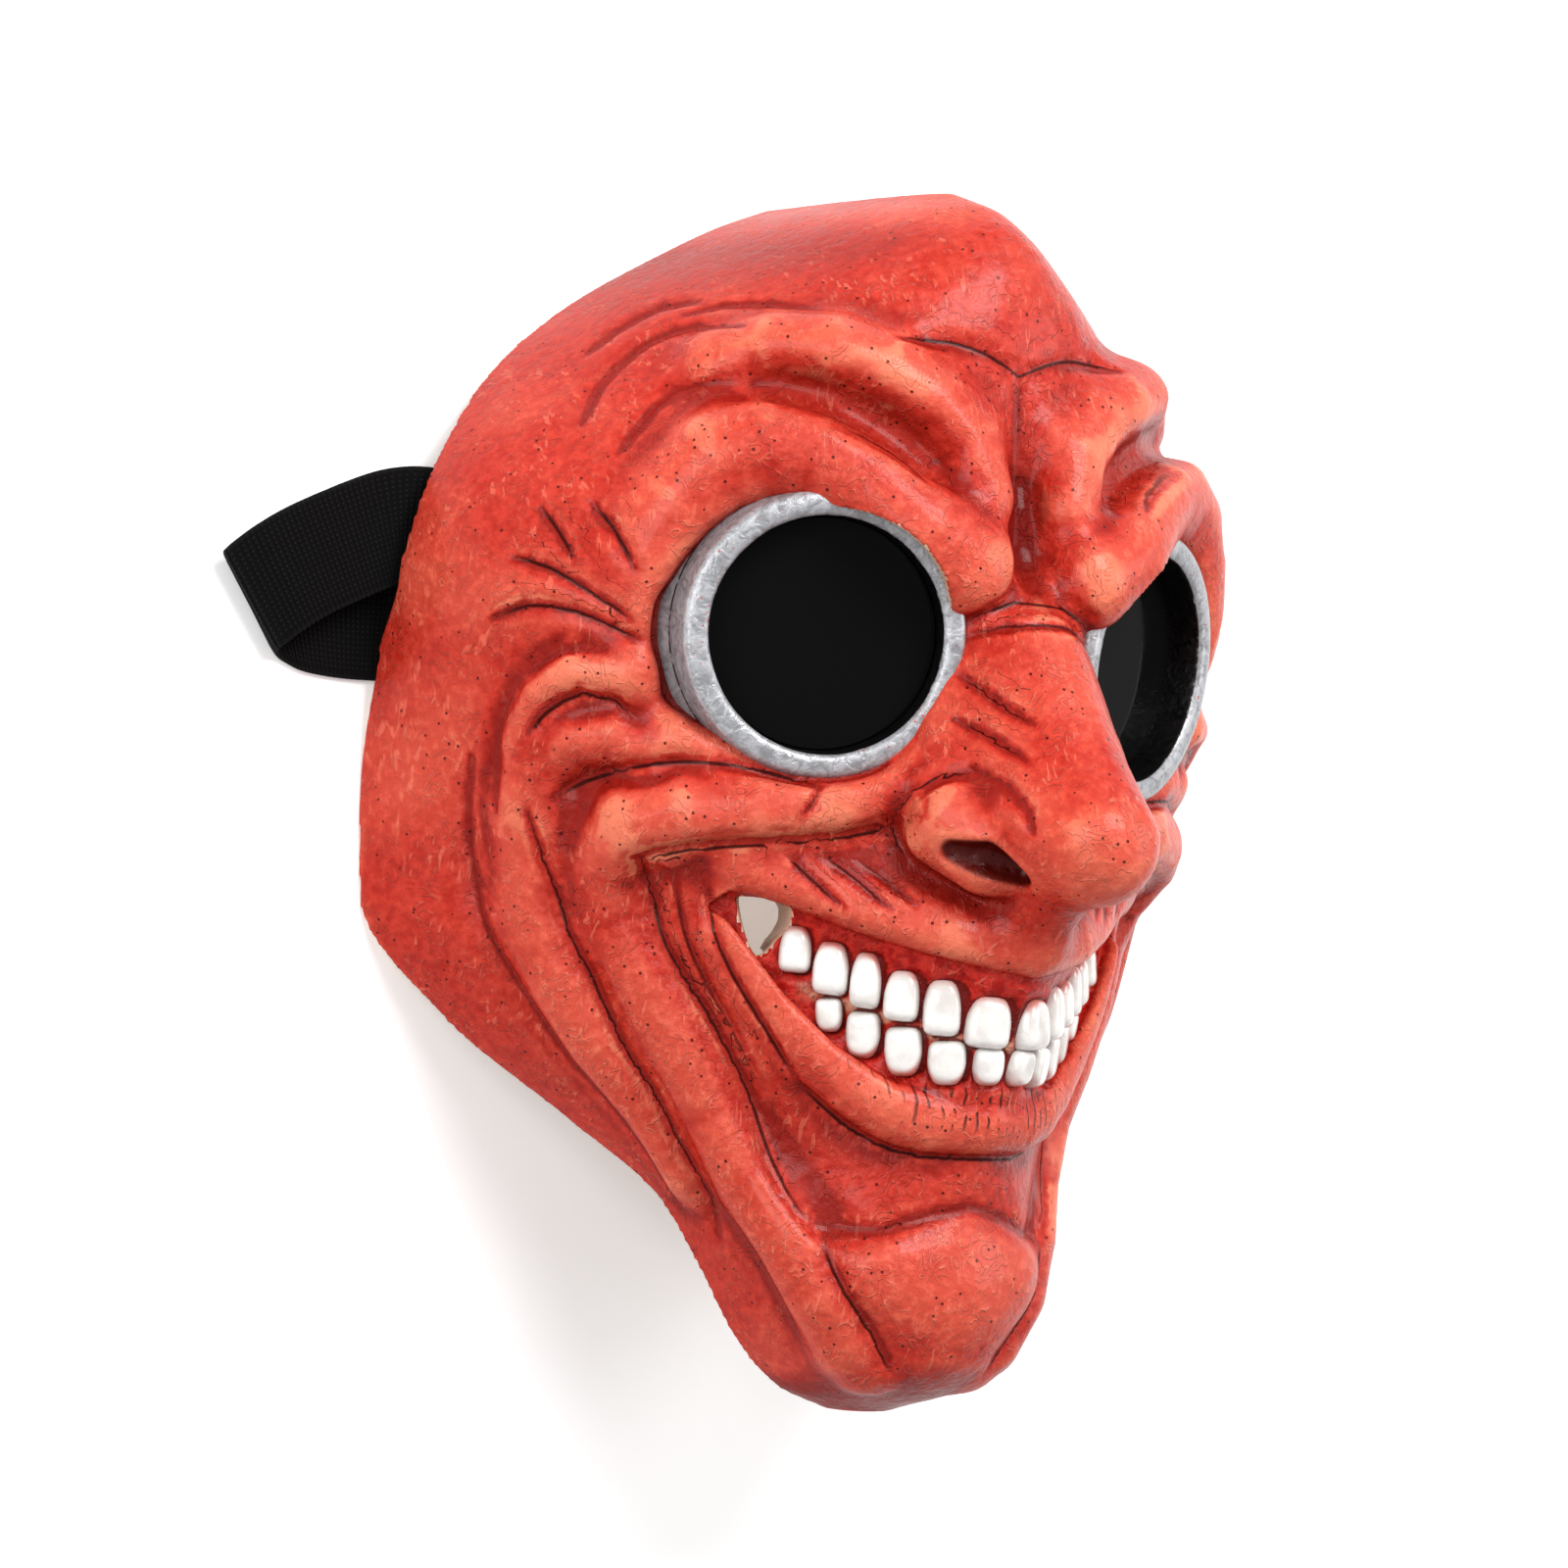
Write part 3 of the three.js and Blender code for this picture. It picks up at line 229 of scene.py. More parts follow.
def at_height(y, column, table=TABLE):
    return np.interp(y, GRID_Y, table[:, column])


def head(x, y, z):
    """Distance to the bare head, a loft of half superellipses on the rim."""
    yc = np.clip(y, Y_LOW, Y_HIGH)
    w, f, r, n = (at_height(yc, i) for i in range(4))
    dw, df, dr = (at_height(yc, i, SLOPE) for i in range(3))
    depth = f - r
    a, b = np.abs(x) / w, np.maximum(z - r, 0) / depth
    an, bn = a ** n, b ** n
    q = np.maximum((an + bn) ** (1 / n), 0.15)
    s = q ** (1 - n)
    gx = s * a ** (n - 1) / w
    gz = s * b ** (n - 1) / depth
    gy = -s * (an * dw / w + bn * (df - dr) / depth) - gz * dr
    d = (q - 1) / np.maximum(np.sqrt(gx * gx + gy * gy + gz * gz), 0.004)
    past = np.maximum(y - Y_HIGH, Y_LOW - y)
    return np.where(past > 0, np.hypot(np.maximum(d, 0), past), np.maximum(d, past))


def smin(a, b, k):
    h = np.maximum(k - np.abs(a - b), 0) / k
    return np.minimum(a, b) - h * h * k / 4


def smax(a, b, k):
    return -smin(-a, -b, k)


def along(p, a, b):
    """How far along a to b each point lies, from 0 to 1, and its distance from that line."""
    e, q = b - a, p - a
    t = np.clip(q @ e / (e @ e), 0, 1)
    return t, np.sqrt(((q - t[:, None] * e) ** 2).sum(1))


def chain(p, balls):
    """Distance to a string of balls with round cones between them."""
    balls = np.array(balls, float)
    best = None
    for c0, c1 in zip(balls[:-1], balls[1:]):
        t, d = along(p, c0[:3], c1[:3])
        d = d - (c0[3] + t * (c1[3] - c0[3]))
        best = d if best is None else np.minimum(best, d)
    return best


def smooth_path(points, step):
    """Catmull-Rom curve through the points."""
    p = np.array(points, float)
    p = np.vstack([2 * p[0] - p[1], p, 2 * p[-1] - p[-2]])
    out = []
    for a, b, c, d in zip(p[:-3], p[1:-2], p[2:-1], p[3:]):
        n = max(1, int(np.ceil(np.linalg.norm(c - b) / step)))
        t = np.arange(n)[:, None] / n
        out.append(0.5 * (2 * b + (c - a) * t + (2 * a - 5 * b + 4 * c - d) * t ** 2
                          + (3 * b - a - 3 * c + d) * t ** 3))
    return np.vstack(out + [p[-2:-1]])


def eye_frame(p):
    """Height over the goggle's front face and distance from its axis."""
    q = p - EYE
    h = q @ EYE_AXIS
    return h, np.sqrt(np.maximum((q * q).sum(1) - h * h, 0))


def on_head(angle, y, lift=0.0):
    """Point at a height over the bare head, on a ray from the middle of the rim plane."""
    w, f, r, n = (float(at_height(y, i)) for i in range(4))
    s, c = np.sin(np.radians(angle)), np.cos(np.radians(angle))
    reach = ((abs(s) / w) ** n + (c / (f - r)) ** n) ** (-1 / n) + lift
    return np.array([reach * s, y, r + reach * c])


def placed(balls):
    return [(*on_head(a, y, lift - r), r) for a, y, lift, r in balls]


ROLLS_PLACED = [(k, placed(balls)) for k, balls in ROLLS.values()]
BROW_PLACED = (BROW[0], placed(BROW[1]))
LOWER_LIP_LINE = placed(ROLLS["lower_lip"][1])


def clear_seat(f, h, r, seat):
    """The field f less the space round the goggle, h over its front face and r from its axis."""
    radius, depth, blend = seat
    return smax(f, -np.maximum(r - radius, -(h + depth)), blend)


def forms(p):
    """Distance to the head with its swellings and hollows, before any crease; p is on the half x >= 0."""
    f = head(p[:, 0], p[:, 1], p[:, 2])
    h, r = eye_frame(p)
    r = np.minimum(r, eye_frame(p - SEAT_SHIFT * EYE_ACROSS)[1])
    f = clear_seat(f, h, r, SEAT_UNDER)
    for k, balls in ROLLS_PLACED:
        f = smin(f, chain(p, balls), k)
    f = clear_seat(f, h, r, SEAT_FRONT)
    for k, balls in (BROW_PLACED, NOSE, NOSE_SIDE, NOSE_FOOT, COLUMELLA, ALA, CHIN):
        f = smin(f, chain(p, balls), k)
    return smax(f, -chain(p, NOSTRIL[1]), NOSTRIL[0])


def surface_point(angle, y):
    """Point of the formed face on a ray from the rim plane's middle, at an angle from straight ahead."""
    s, c = np.sin(np.radians(angle)), np.cos(np.radians(angle))
    r0 = float(at_height(y, 2))
    t = np.linspace(150, 20, 521)
    q = np.stack([t * s, np.full_like(t, y), r0 + t * c], 1)
    return q[int(np.argmax(forms(q) < 0))]


def stroke_path(name, depth, width, points):
    """A stroke laid on the formed face, how it fades towards its ends, and how dark its bottom is."""
    flat = smooth_path(points, 5.0)
    q = np.array([surface_point(a, y) for a, y in flat])
    s = np.concatenate([[0], np.cumsum(np.linalg.norm(np.diff(q, axis=0), axis=1))])
    s /= s[-1]
    fade = 0.25 + 0.75 * np.sin(np.clip(np.minimum(s, 1 - s) / 0.18, 0, 1) * np.pi / 2)
    if abs(flat[-1][0]) < 0.5:
        fade[s > 0.5] = 1.0
    dark = 0.0 if name in SOFT_STROKES else 0.45 if name in FAINT_STROKES else 1.0
    return depth, width, q, fade, dark


PATHS = [stroke_path(name, depth, SHOULDER * width, points)
         for name, (depth, width, points) in STROKES.items()]


def creases(p):
    """How much the strokes sink the surface at each point."""
    out = np.zeros(len(p))
    for depth, width, q, fade, _ in PATHS:
        near = np.flatnonzero(((p > q.min(0) - width) & (p < q.max(0) + width)).all(1))
        if not len(near):
            continue
        v, pn = np.zeros(len(near)), p[near]
        for a, b, fa, fb in zip(q[:-1], q[1:], fade[:-1], fade[1:]):
            t, d = along(pn, a, b)
            k = fa + t * (fb - fa)
            reach = width * (0.5 + 0.5 * k)
            v = np.maximum(v, k * (VALLEY_SHARE * np.clip(1 - d / reach, 0, 1) ** 2
                                   + LINE_SHARE * np.clip(1 - d / (LINE_WIDTH * reach), 0, 1)))
        out[near] += depth * v
    return out


def crease_lines(p):
    """Distance across the skin from the nearest stroke's line, signed for its side, and its strength."""
    near_line, strength, nearest = np.full(len(p), 9.0), np.zeros(len(p)), np.full(len(p), LINE_REACH)
    out = np.stack([p[:, 0], 0 * p[:, 0], p[:, 2] - at_height(np.clip(p[:, 1], Y_LOW, Y_HIGH), 2)], 1)
    out /= np.linalg.norm(out, axis=1, keepdims=True)
    for depth, _, q, fade, dark in PATHS:
        near = np.flatnonzero(((p > q.min(0) - LINE_REACH) & (p < q.max(0) + LINE_REACH)).all(1))
        if not dark or not len(near):
            continue
        for a, b, fa, fb in zip(q[:-1], q[1:], fade[:-1], fade[1:]):
            t, d = along(p[near], a, b)
            closer = d < nearest[near]
            where, t = near[closer], t[closer]
            away = p[where] - (a + t[:, None] * (b - a))
            away -= (away * out[where]).sum(1)[:, None] * out[where]
            side = np.sign((np.cross(b - a, away) * out[where]).sum(1))
            nearest[where] = d[closer]
            near_line[where] = np.linalg.norm(away, axis=1) * side
            strength[where] = dark * np.clip(depth / FULL_DARK_DEPTH, 0, 1) * (fa + t * (fb - fa))
    return near_line, strength


def mouth(p):
    """Positive inside the mouth opening, seen from the front, in mm from the lip line."""
    x = np.abs(p[:, 0])
    top, low = np.interp(x, LIP_X, LIP_TOP), np.interp(x, LIP_X, LIP_LOW)
    m = np.minimum(top - p[:, 1], p[:, 1] - low)
    return np.where(x > LIP_X[-1], -(x - LIP_X[-1]) - np.abs(p[:, 1] + 23), m * 0.8)


def turn_of(p):
    """Angle from straight ahead round the middle of the rim plane, in degrees."""
    return np.degrees(np.arctan2(p[:, 0], p[:, 2] - at_height(np.clip(p[:, 1], Y_LOW, Y_HIGH), 2)))


def gum_level(angle):
    """Height of the gum over the bare head."""
    return GUM_RISE * np.exp(-(angle / GUM_RISE_ANGLE) ** 2) - GUM_DEPTH


def tooth_distance(p):
    """Distance along the gum from the nearest tooth's outline, negative on the tooth."""
    turn = turn_of(p)
    best = np.full(len(p), 20.0)
    for angle, y, width, height in UPPER_TEETH + LOWER_TEETH:
        for side in (1, -1):
            u = np.abs(turn - side * angle) * GUM_MM_PER_DEGREE / (width / 2)
            v = np.abs(p[:, 1] - y) / (height / 2)
            best = np.minimum(best, ((u ** 3 + v ** 3) ** (1 / 3) - 1) * width / 2)
    return best


def polygon(u, v, points):
    """Signed distance to a flat polygon, negative inside."""
    best, inside = np.full(len(u), np.inf), np.zeros(len(u), bool)
    q = np.stack([u, v], 1)
    for (x0, y0), (x1, y1) in zip(points, points[1:] + points[:1]):
        best = np.minimum(best, along(q, np.array([x0, y0]), np.array([x1, y1]))[1])
        spans = (y0 > v) != (y1 > v)
        inside ^= spans & (u < (x1 - x0) * (v - y0) / ((y1 - y0) or 1e-9) + x0)
    return np.where(inside, -best, best)


def skin(p):
    """Distance to the formed face, to the finished outer skin, and to the bare head."""
    f = forms(p)
    base = head(p[:, 0], p[:, 1], p[:, 2])
    g = f + creases(p)
    m = mouth(p)
    out = g.copy()
    near = np.flatnonzero((np.abs(base) < 25) & (m > -6))
    swell = np.clip(tooth_distance(p[near]) / GUM_SWELL_REACH, 0, 1)
    gum = base[near] - gum_level(turn_of(p[near])) - GUM_SWELL * swell * (2 - swell)
    gum = smax(gum, -(m[near] + GUM_UNDER_LIP), 2.0)
    out[near] = smin(smax(g[near], m[near], LIP_BLEND), gum, 1.2)
    return f, out, base


def solid(p):
    """Distance to the mask: skin less its hollow, cut along the rim, with eye bores and corner holes."""
    q = p.copy()
    q[:, 0] = np.abs(q[:, 0])
    f, g, base = skin(q)
    inner = smax(f, g, 4.0) + WALL + 0.9 * np.clip(g - f, 0, 6)
    rim = at_height(np.clip(q[:, 1], Y_LOW, Y_HIGH), 2)
    shell = np.maximum(np.maximum(g, -inner), (rim - q[:, 2]) * 0.8)
    near = np.flatnonzero((q[:, 1] > -40) & (q[:, 1] < -14) & (q[:, 0] > 30) & (q[:, 0] < 70))
    if len(near):
        n = q[near]
        reach = np.hypot(n[:, 0], n[:, 2] - rim[near])
        turn = np.arctan2(n[:, 0], n[:, 2] - rim[near])
        mean = 100.0
        outline = smooth_path(CORNER_HOLE + CORNER_HOLE[:1], 1.5)[:-1]
        outline = [(math.radians(a) * mean, y) for a, y in outline]
        hole = polygon(turn * mean, n[:, 1], outline) * np.clip(reach / mean, 0.5, 1)
        shell[near] = smax(shell[near], -np.maximum(hole, base[near] - HOLE_TOP), 1.0)
    _, r = eye_frame(q)
    return np.maximum(shell, BORE_RADIUS + 2 - r)


def nets(field, lo, hi, cell):
    """Surface nets of a field that is the same on both sides of x = 0, over lo..hi and its mirror."""
    block = 4
    lo, hi = np.array(lo, float), np.array(hi, float)
    n = np.ceil((hi - lo) / (cell * block)).astype(int)
    big = cell * block
    middles = [lo[i] + (np.arange(n[i]) + 0.5) * big for i in range(3)]
    fc = field(np.stack(np.meshgrid(*middles, indexing="ij"), -1).reshape(-1, 3))
    # Only the blocks that the surface may cross are worked out point by point
    live = np.flatnonzero(np.abs(fc) < big * 1.35 + 1.2)
    size = n * block + 1
    grid = np.empty(size, np.float32)
    grid[:-1, :-1, :-1] = np.repeat(np.repeat(np.repeat(fc.reshape(n), block, 0), block, 1), block, 2)
    grid[-1], grid[:, -1], grid[:, :, -1] = grid[-2], grid[:, -2], grid[:, :, -2]
    corner_of = np.stack(np.unravel_index(live, n), 1) * block
    mark = np.zeros(size, bool)
    for o in np.stack(np.meshgrid(*[np.arange(block + 1)] * 3, indexing="ij"), -1).reshape(-1, 3):
        mark[tuple((corner_of + o).T)] = True
    idx = np.argwhere(mark)
    for s in range(0, len(idx), 400000):
        part = idx[s:s + 400000]
        grid[tuple(part.T)] = field(lo + part * cell)
    grid = np.concatenate([grid[:0:-1], grid])
    lo[0] -= cell * (size[0] - 1)
    size = np.array(grid.shape)
    inside = grid < 0
    count = np.zeros(size - 1, np.uint8)
    corner = np.array([(i, j, k) for i in (0, 1) for j in (0, 1) for k in (0, 1)])
    for i, j, k in corner:
        count += inside[i:size[0] - 1 + i, j:size[1] - 1 + j, k:size[2] - 1 + k]
    cells = np.argwhere((count > 0) & (count < 8))
    number = np.full(size - 1, -1, np.int32)
    number[tuple(cells.T)] = np.arange(len(cells))
    cv = np.stack([grid[tuple((cells + o).T)] for o in corner], 1)
    total, crossings = np.zeros((len(cells), 3)), np.zeros(len(cells))
    for a in range(8):
        for step in (4, 2, 1):
            if a & step:
                continue
            va, vb = cv[:, a], cv[:, a | step]
            cross = (va < 0) != (vb < 0)
            t = np.where(cross, va / np.where(cross, va - vb, 1), 0)
            total += (corner[a] + t[:, None] * (corner[a | step] - corner[a])) * cross[:, None]
            crossings += cross
    verts = lo + (cells + total / crossings[:, None]) * cell
    faces = []
    for ax in range(3):
        first, second = [slice(None)] * 3, [slice(None)] * 3
        first[ax], second[ax] = slice(None, -1), slice(1, None)
        s0, s1 = inside[tuple(first)], inside[tuple(second)]
        e = np.argwhere(s0 != s1)
        u, v = (ax + 1) % 3, (ax + 2) % 3
        e = e[(e[:, u] > 0) & (e[:, v] > 0) & (e[:, u] < size[u] - 1) & (e[:, v] < size[v] - 1)]
        outward = s0[tuple(e.T)]
        quad = []
        for du, dv in ((-1, -1), (0, -1), (0, 0), (-1, 0)):
            c = e.copy()
            c[:, u] += du
            c[:, v] += dv
            quad.append(number[tuple(c.T)])
        quad = np.stack(quad, 1)
        quad[~outward] = quad[~outward][:, ::-1]
        faces.append(quad)
    return verts, np.vstack(faces)


# Mesh helpers
def mesh_of(name, verts, faces, smooth=True):
    """Mesh from points in face millimetres and equal-sided faces."""
    faces = np.asarray(faces, np.int32)
    mesh = bpy.data.meshes.new(name)
    mesh.vertices.add(len(verts))
    mesh.vertices.foreach_set("co", ((np.asarray(verts) + SHIFT) * MM).astype(np.float32).ravel())
    mesh.loops.add(faces.size)
    mesh.loops.foreach_set("vertex_index", faces.ravel())
    mesh.polygons.add(len(faces))
    mesh.polygons.foreach_set("loop_start", np.arange(0, faces.size, faces.shape[1], dtype=np.int32))
    mesh.update(calc_edges=True)
    mesh.validate()
    mesh.polygons.foreach_set("use_smooth", [smooth] * len(mesh.polygons))
    return mesh


def piece(name, mesh, slot, *nodes):
    obj = bpy.data.objects.new(name, mesh)
    bpy.context.collection.objects.link(obj)
    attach(obj, "root")
    if nodes:
        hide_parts(*nodes)
    return obj


def points_of(mesh):
    co = np.empty(len(mesh.vertices) * 3, np.float32)
    mesh.vertices.foreach_get("co", co)
    return co.reshape(-1, 3).astype(float) / MM - SHIFT


def attribute(mesh, name, values):
    mesh.attributes.new(name, "FLOAT", "POINT").data.foreach_set("value", np.asarray(values, np.float32))


# Corners of a regular tetrahedron, for slopes and curvature of a field
TETRA = np.array([(1, 1, 1), (1, -1, -1), (-1, 1, -1), (-1, -1, 1)]) / math.sqrt(3)


def probe(field, p, step):
    """Slope of a field at each point, and its curvature over the step."""
    values = [field(p + step * d) for d in TETRA]
    slope = sum(v[:, None] * d for v, d in zip(values, TETRA)) * 0.75 / step
    return slope, (sum(values) - 4 * field(p)) * 1.5 / step ** 2


# Materials
def srgb(r, g, b):
    """Linear colour of 8-bit display values."""
    return tuple(c / 255 / 12.92 if c < 11 else ((c / 255 + 0.055) / 1.055) ** 2.4
                 for c in (r, g, b)) + (1.0,)


class Nodes:
    """One material's node tree, with short calls for the nodes that it is made of."""

    def __init__(self, name, **shader):
        self.material = bpy.data.materials.new(name)
        self.material.use_nodes = True
        self.tree = self.material.node_tree
        self.shader = self.tree.nodes["Principled BSDF"]
        for key, value in shader.items():
            self.shader.inputs[key.replace("_", " ")].default_value = value
        self.place = self.add("TexCoord").outputs["Object"]

    def add(self, kind, inputs=None, **settings):
        node = self.tree.nodes.new("ShaderNode" + kind)
        for key, value in settings.items():
            setattr(node, key, value)
        for key, value in (inputs or {}).items():
            self.put(node.inputs[key], value)
        return node

    def put(self, socket, value):
        if isinstance(value, bpy.types.NodeSocket):
            self.tree.links.new(value, socket)
        else:
            socket.default_value = value

    def set(self, **inputs):
        for key, value in inputs.items():
            self.put(self.shader.inputs[key.replace("_", " ")], value)

    def math(self, operation, a, b=0.0, c=0.0):
        return self.add("Math", {0: a, 1: b, 2: c}, operation=operation).outputs[0]

    def fit(self, value, low, high, to_low=0.0, to_high=1.0):
        inputs = {"Value": value, "From Min": low, "From Max": high, "To Min": to_low, "To Max": to_high}
        return self.add("MapRange", inputs, interpolation_type="SMOOTHSTEP").outputs[0]

    def mix(self, factor, a, b):
        return self.add("Mix", {0: factor, 6: a, 7: b}, data_type="RGBA").outputs[2]

    def noise(self, scale, detail=2.0, rough=0.5, warp=0.0, place=None):
        inputs = {"Vector": place or self.place, "Scale": scale, "Detail": detail, "Roughness": rough,
                  "Distortion": warp}
        return self.add("TexNoise", inputs).outputs["Fac"]

    def field(self, name):
        return self.add("Attribute", attribute_name=name).outputs["Fac"]

    def bump(self, height, distance, strength):
        return self.add("Bump", {"Height": height, "Distance": distance, "Strength": strength}).outputs[0]


def red_paint():
    """Dry-brushed red paint: near-black lines and dark red in the creases, partly paint and partly painted
    shade;
    orange and flesh curls on the high places, dark pores.
    """
    n = Nodes("red_paint", Roughness=0.4, Coat_Weight=0.12, Coat_Roughness=0.12, Specular_IOR_Level=0.12)
    crease, ridge, gum, tooth = (n.field(name) for name in ("crease", "ridge", "gum", "tooth"))
    patches = n.noise(34, 3)
    bend = n.add("TexNoise", {"Vector": n.place, "Scale": 150, "Detail": 1}).outputs["Color"]
    bent = n.add("VectorMath", {0: bend, 1: (0.005, 0.005, 0.005), 2: n.place}, operation="MULTIPLY_ADD")
    curls = n.math("PINGPONG", n.math("MULTIPLY", n.noise(210, 1, place=bent.outputs[0]), 13), 1)
    curls = n.math("MULTIPLY", n.fit(curls, 0.74, 1.0), n.fit(n.noise(150, 1), 0.44, 0.58))
    hairs = n.add("VectorMath", {0: n.place, 1: (1.0, 0.16, 0.4)}, operation="MULTIPLY").outputs[0]
    hairs = n.fit(n.noise(1100, 1, warp=0.4, place=hairs), 0.58, 0.68)
    hairs = n.math("MULTIPLY", hairs, n.fit(n.noise(90, 1), 0.48, 0.6))
    mottle = n.noise(420, 4, 0.6)
    grain = n.noise(1500, 2)
    # How much of the pale dry brush a place takes
    high = n.math("ADD", n.math("MULTIPLY", ridge, 0.8), n.math("MULTIPLY_ADD", patches, 2.4, -1.1))
    high = n.fit(n.math("MULTIPLY_ADD", crease, -1.5, high), -0.1, 0.9)
    colour = n.mix(n.fit(mottle, 0.3, 0.7), srgb(160, 33, 23), srgb(186, 52, 38))
    colour = n.mix(n.math("MULTIPLY", high, 0.6), colour, srgb(208, 86, 66))
    palest = n.math("MULTIPLY", n.fit(ridge, 0.7, 1.0), n.fit(patches, 0.47, 0.64, 0.04, 0.5))
    colour = n.mix(palest, colour, srgb(232, 140, 106))
    flecks = n.math("MULTIPLY", n.fit(mottle, 0.5, 0.7), high)
    colour = n.mix(n.math("MULTIPLY", flecks, 0.3), colour, srgb(224, 122, 92))
    brushed = n.math("MULTIPLY", curls, n.math("MULTIPLY_ADD", high, 0.36, 0.14))
    colour = n.mix(brushed, colour, srgb(228, 122, 98))
    colour = n.mix(n.math("MULTIPLY", hairs, 0.4), colour, srgb(226, 116, 92))
    colour = n.mix(n.math("MULTIPLY", n.fit(grain, 0.56, 0.7), 0.25), colour, srgb(140, 16, 9))
    # Darker red in the hollows and creases: partly a dark wash in the paint, partly painted shade
    colour = n.mix(n.fit(ridge, -0.05, -0.8, 0, 0.7), colour, srgb(112, 11, 7))
    colour = n.mix(n.fit(crease, 0.3, 0.9, 0, 0.75), colour, srgb(100, 9, 5))
    # Dark line in each crease's bottom, darker the deeper the stroke: partly a painted line, partly painted
    # shade
    off_line = n.math("MULTIPLY_ADD", n.noise(220, 1), 0.3, n.math("ABSOLUTE", n.field("line")))
    line = n.math("MULTIPLY", n.fit(off_line, 0.75, 0.3), n.fit(n.field("cut"), 0.2, 0.9))
    colour = n.mix(n.math("MULTIPLY", line, 0.9), colour, srgb(34, 4, 3))
    # Painted shadow in the gap round each goggle's foot
    colour = n.mix(n.math("MULTIPLY", n.field("seat"), 0.8), colour, srgb(72, 7, 4))
    colour = n.mix(n.fit(n.field("nostril"), 0.1, 0.9, 0, 0.9), colour, srgb(60, 6, 3))
    cells = n.add("TexVoronoi", {"Vector": n.place, "Scale": 380, "Randomness": 1}, feature="F1")
    chosen = n.fit(n.add("SeparateColor", {0: cells.outputs["Color"]}).outputs[0], 0.42, 0.44)
    pores = n.math("MULTIPLY", n.fit(cells.outputs["Distance"], 0.15, 0.08), chosen)
    colour = n.mix(n.math("MULTIPLY", pores, 0.9), colour, srgb(70, 6, 4))
    # Gums: clean red, a dark line round every tooth, bare latex showing between the rows
    gums = n.mix(n.fit(mottle, 0.4, 0.6), srgb(150, 18, 13), srgb(186, 42, 32))
    gums = n.mix(n.math("MULTIPLY", curls, 0.4), gums, srgb(224, 104, 84))
    bare = n.math("MULTIPLY", n.field("bite"), n.fit(n.noise(180, 2), 0.36, 0.5, 0, 0.9))
    gums = n.mix(bare, gums, srgb(206, 150, 122))
    rough_edge = n.math("MULTIPLY_ADD", n.noise(500, 2), 0.8, tooth)
    gums = n.mix(n.fit(rough_edge, 1.0, 0.6, 0, 0.9), gums, srgb(88, 9, 6))
    colour = n.mix(n.fit(gum, 0.2, 0.7), colour, gums)
    height = n.math("MULTIPLY_ADD", curls, 0.45, n.math("MULTIPLY_ADD", pores, -1.3, n.noise(420, 3)))
    lumps = n.math("MULTIPLY", n.noise(110, 3), 1.8)
    height = n.math("ADD", n.math("MULTIPLY_ADD", hairs, 0.25, height), lumps)
    # Short upright cracks in the lower lip
    across = n.add("SeparateXYZ", {0: n.place}).outputs[0]
    lines = n.math("MULTIPLY_ADD", n.noise(260, 1), 0.0016, across)
    lines = n.math("PINGPONG", n.math("MULTIPLY", lines, 400), 0.5)
    broken = n.math("MULTIPLY", n.field("lip"), n.fit(n.noise(210, 2), 0.46, 0.54))
    lines = n.math("MULTIPLY", n.fit(lines, 0.14, 0.0), broken)
    colour = n.mix(n.math("MULTIPLY", lines, 0.9), colour, srgb(70, 6, 4))
    height = n.math("MULTIPLY_ADD", lines, -3.0, height)
    # The sides of the mask and its creases shine less than what faces the light
    shine = n.fit(n.field("facing"), 0.35, 0.9, 0.02, 0.17)
    shine = n.math("MULTIPLY", shine, n.fit(n.math("ADD", crease, line), 0.2, 1, 1, 0.3))
    n.set(Base_Color=colour, Roughness=n.fit(mottle, 0.3, 0.7, 0.3, 0.46), Specular_IOR_Level=shine,
          Normal=n.bump(height, 0.0006, 0.9))
    return n.material


def cream_latex():
    """Bare cream latex of the hollow and the cut rim, with faint flow marks."""
    n = Nodes("cream_latex", Roughness=0.5, Subsurface_Weight=0.08, Subsurface_Radius=(0.01, 0.006, 0.003))
    flow = n.noise(40, 4, warp=1.5)
    grain = n.noise(600, 3)
    colour = n.mix(n.fit(flow, 0.3, 0.7), srgb(204, 164, 138), srgb(222, 188, 162))
    colour = n.mix(n.fit(grain, 0.55, 0.75, 0, 0.3), colour, srgb(184, 140, 112))
    n.set(Base_Color=colour, Roughness=n.fit(flow, 0.3, 0.7, 0.4, 0.6),
          Normal=n.bump(n.math("ADD", flow, grain), 0.0005, 0.6))
    return n.material


def silver_paint():
    """Brushed-on silver paint over the cast rim, with specks of the red beneath."""
    n = Nodes("silver_paint", Metallic=0.4, Roughness=0.32)
    daub = n.noise(300, 4, 0.6, 1.5)
    fine = n.noise(1400, 2)
    grime = n.noise(120, 3)
    colour = n.mix(n.fit(daub, 0.35, 0.65), srgb(140, 141, 144), srgb(174, 175, 179))
    colour = n.mix(n.fit(grime, 0.55, 0.75, 0, 0.2), colour, srgb(146, 122, 116))
    # Dark in the seams: dirt in the groove's dashes, and painted shade where the rim's foot meets the skin
    seam = n.field("seam")
    seam_dirt_and_shade = n.math("MULTIPLY", n.fit(seam, 0.3, 0.9), n.fit(n.noise(400, 2), 0.3, 0.5))
    colour = n.mix(seam_dirt_and_shade, colour, srgb(30, 14, 11))
    speck = n.math("MULTIPLY", n.fit(n.noise(900, 1), 0.68, 0.74), n.fit(grime, 0.45, 0.6))
    colour = n.mix(n.math("MULTIPLY", speck, 0.8), colour, srgb(170, 40, 34))
    colour = n.mix(n.fit(seam, 1.2, 1.8), colour, srgb(8, 7, 7))
    n.set(Base_Color=colour, Roughness=n.fit(daub, 0.3, 0.7, 0.25, 0.42),
          Normal=n.bump(n.math("MULTIPLY_ADD", fine, 0.25, daub), 0.0004, 0.8))
    return n.material


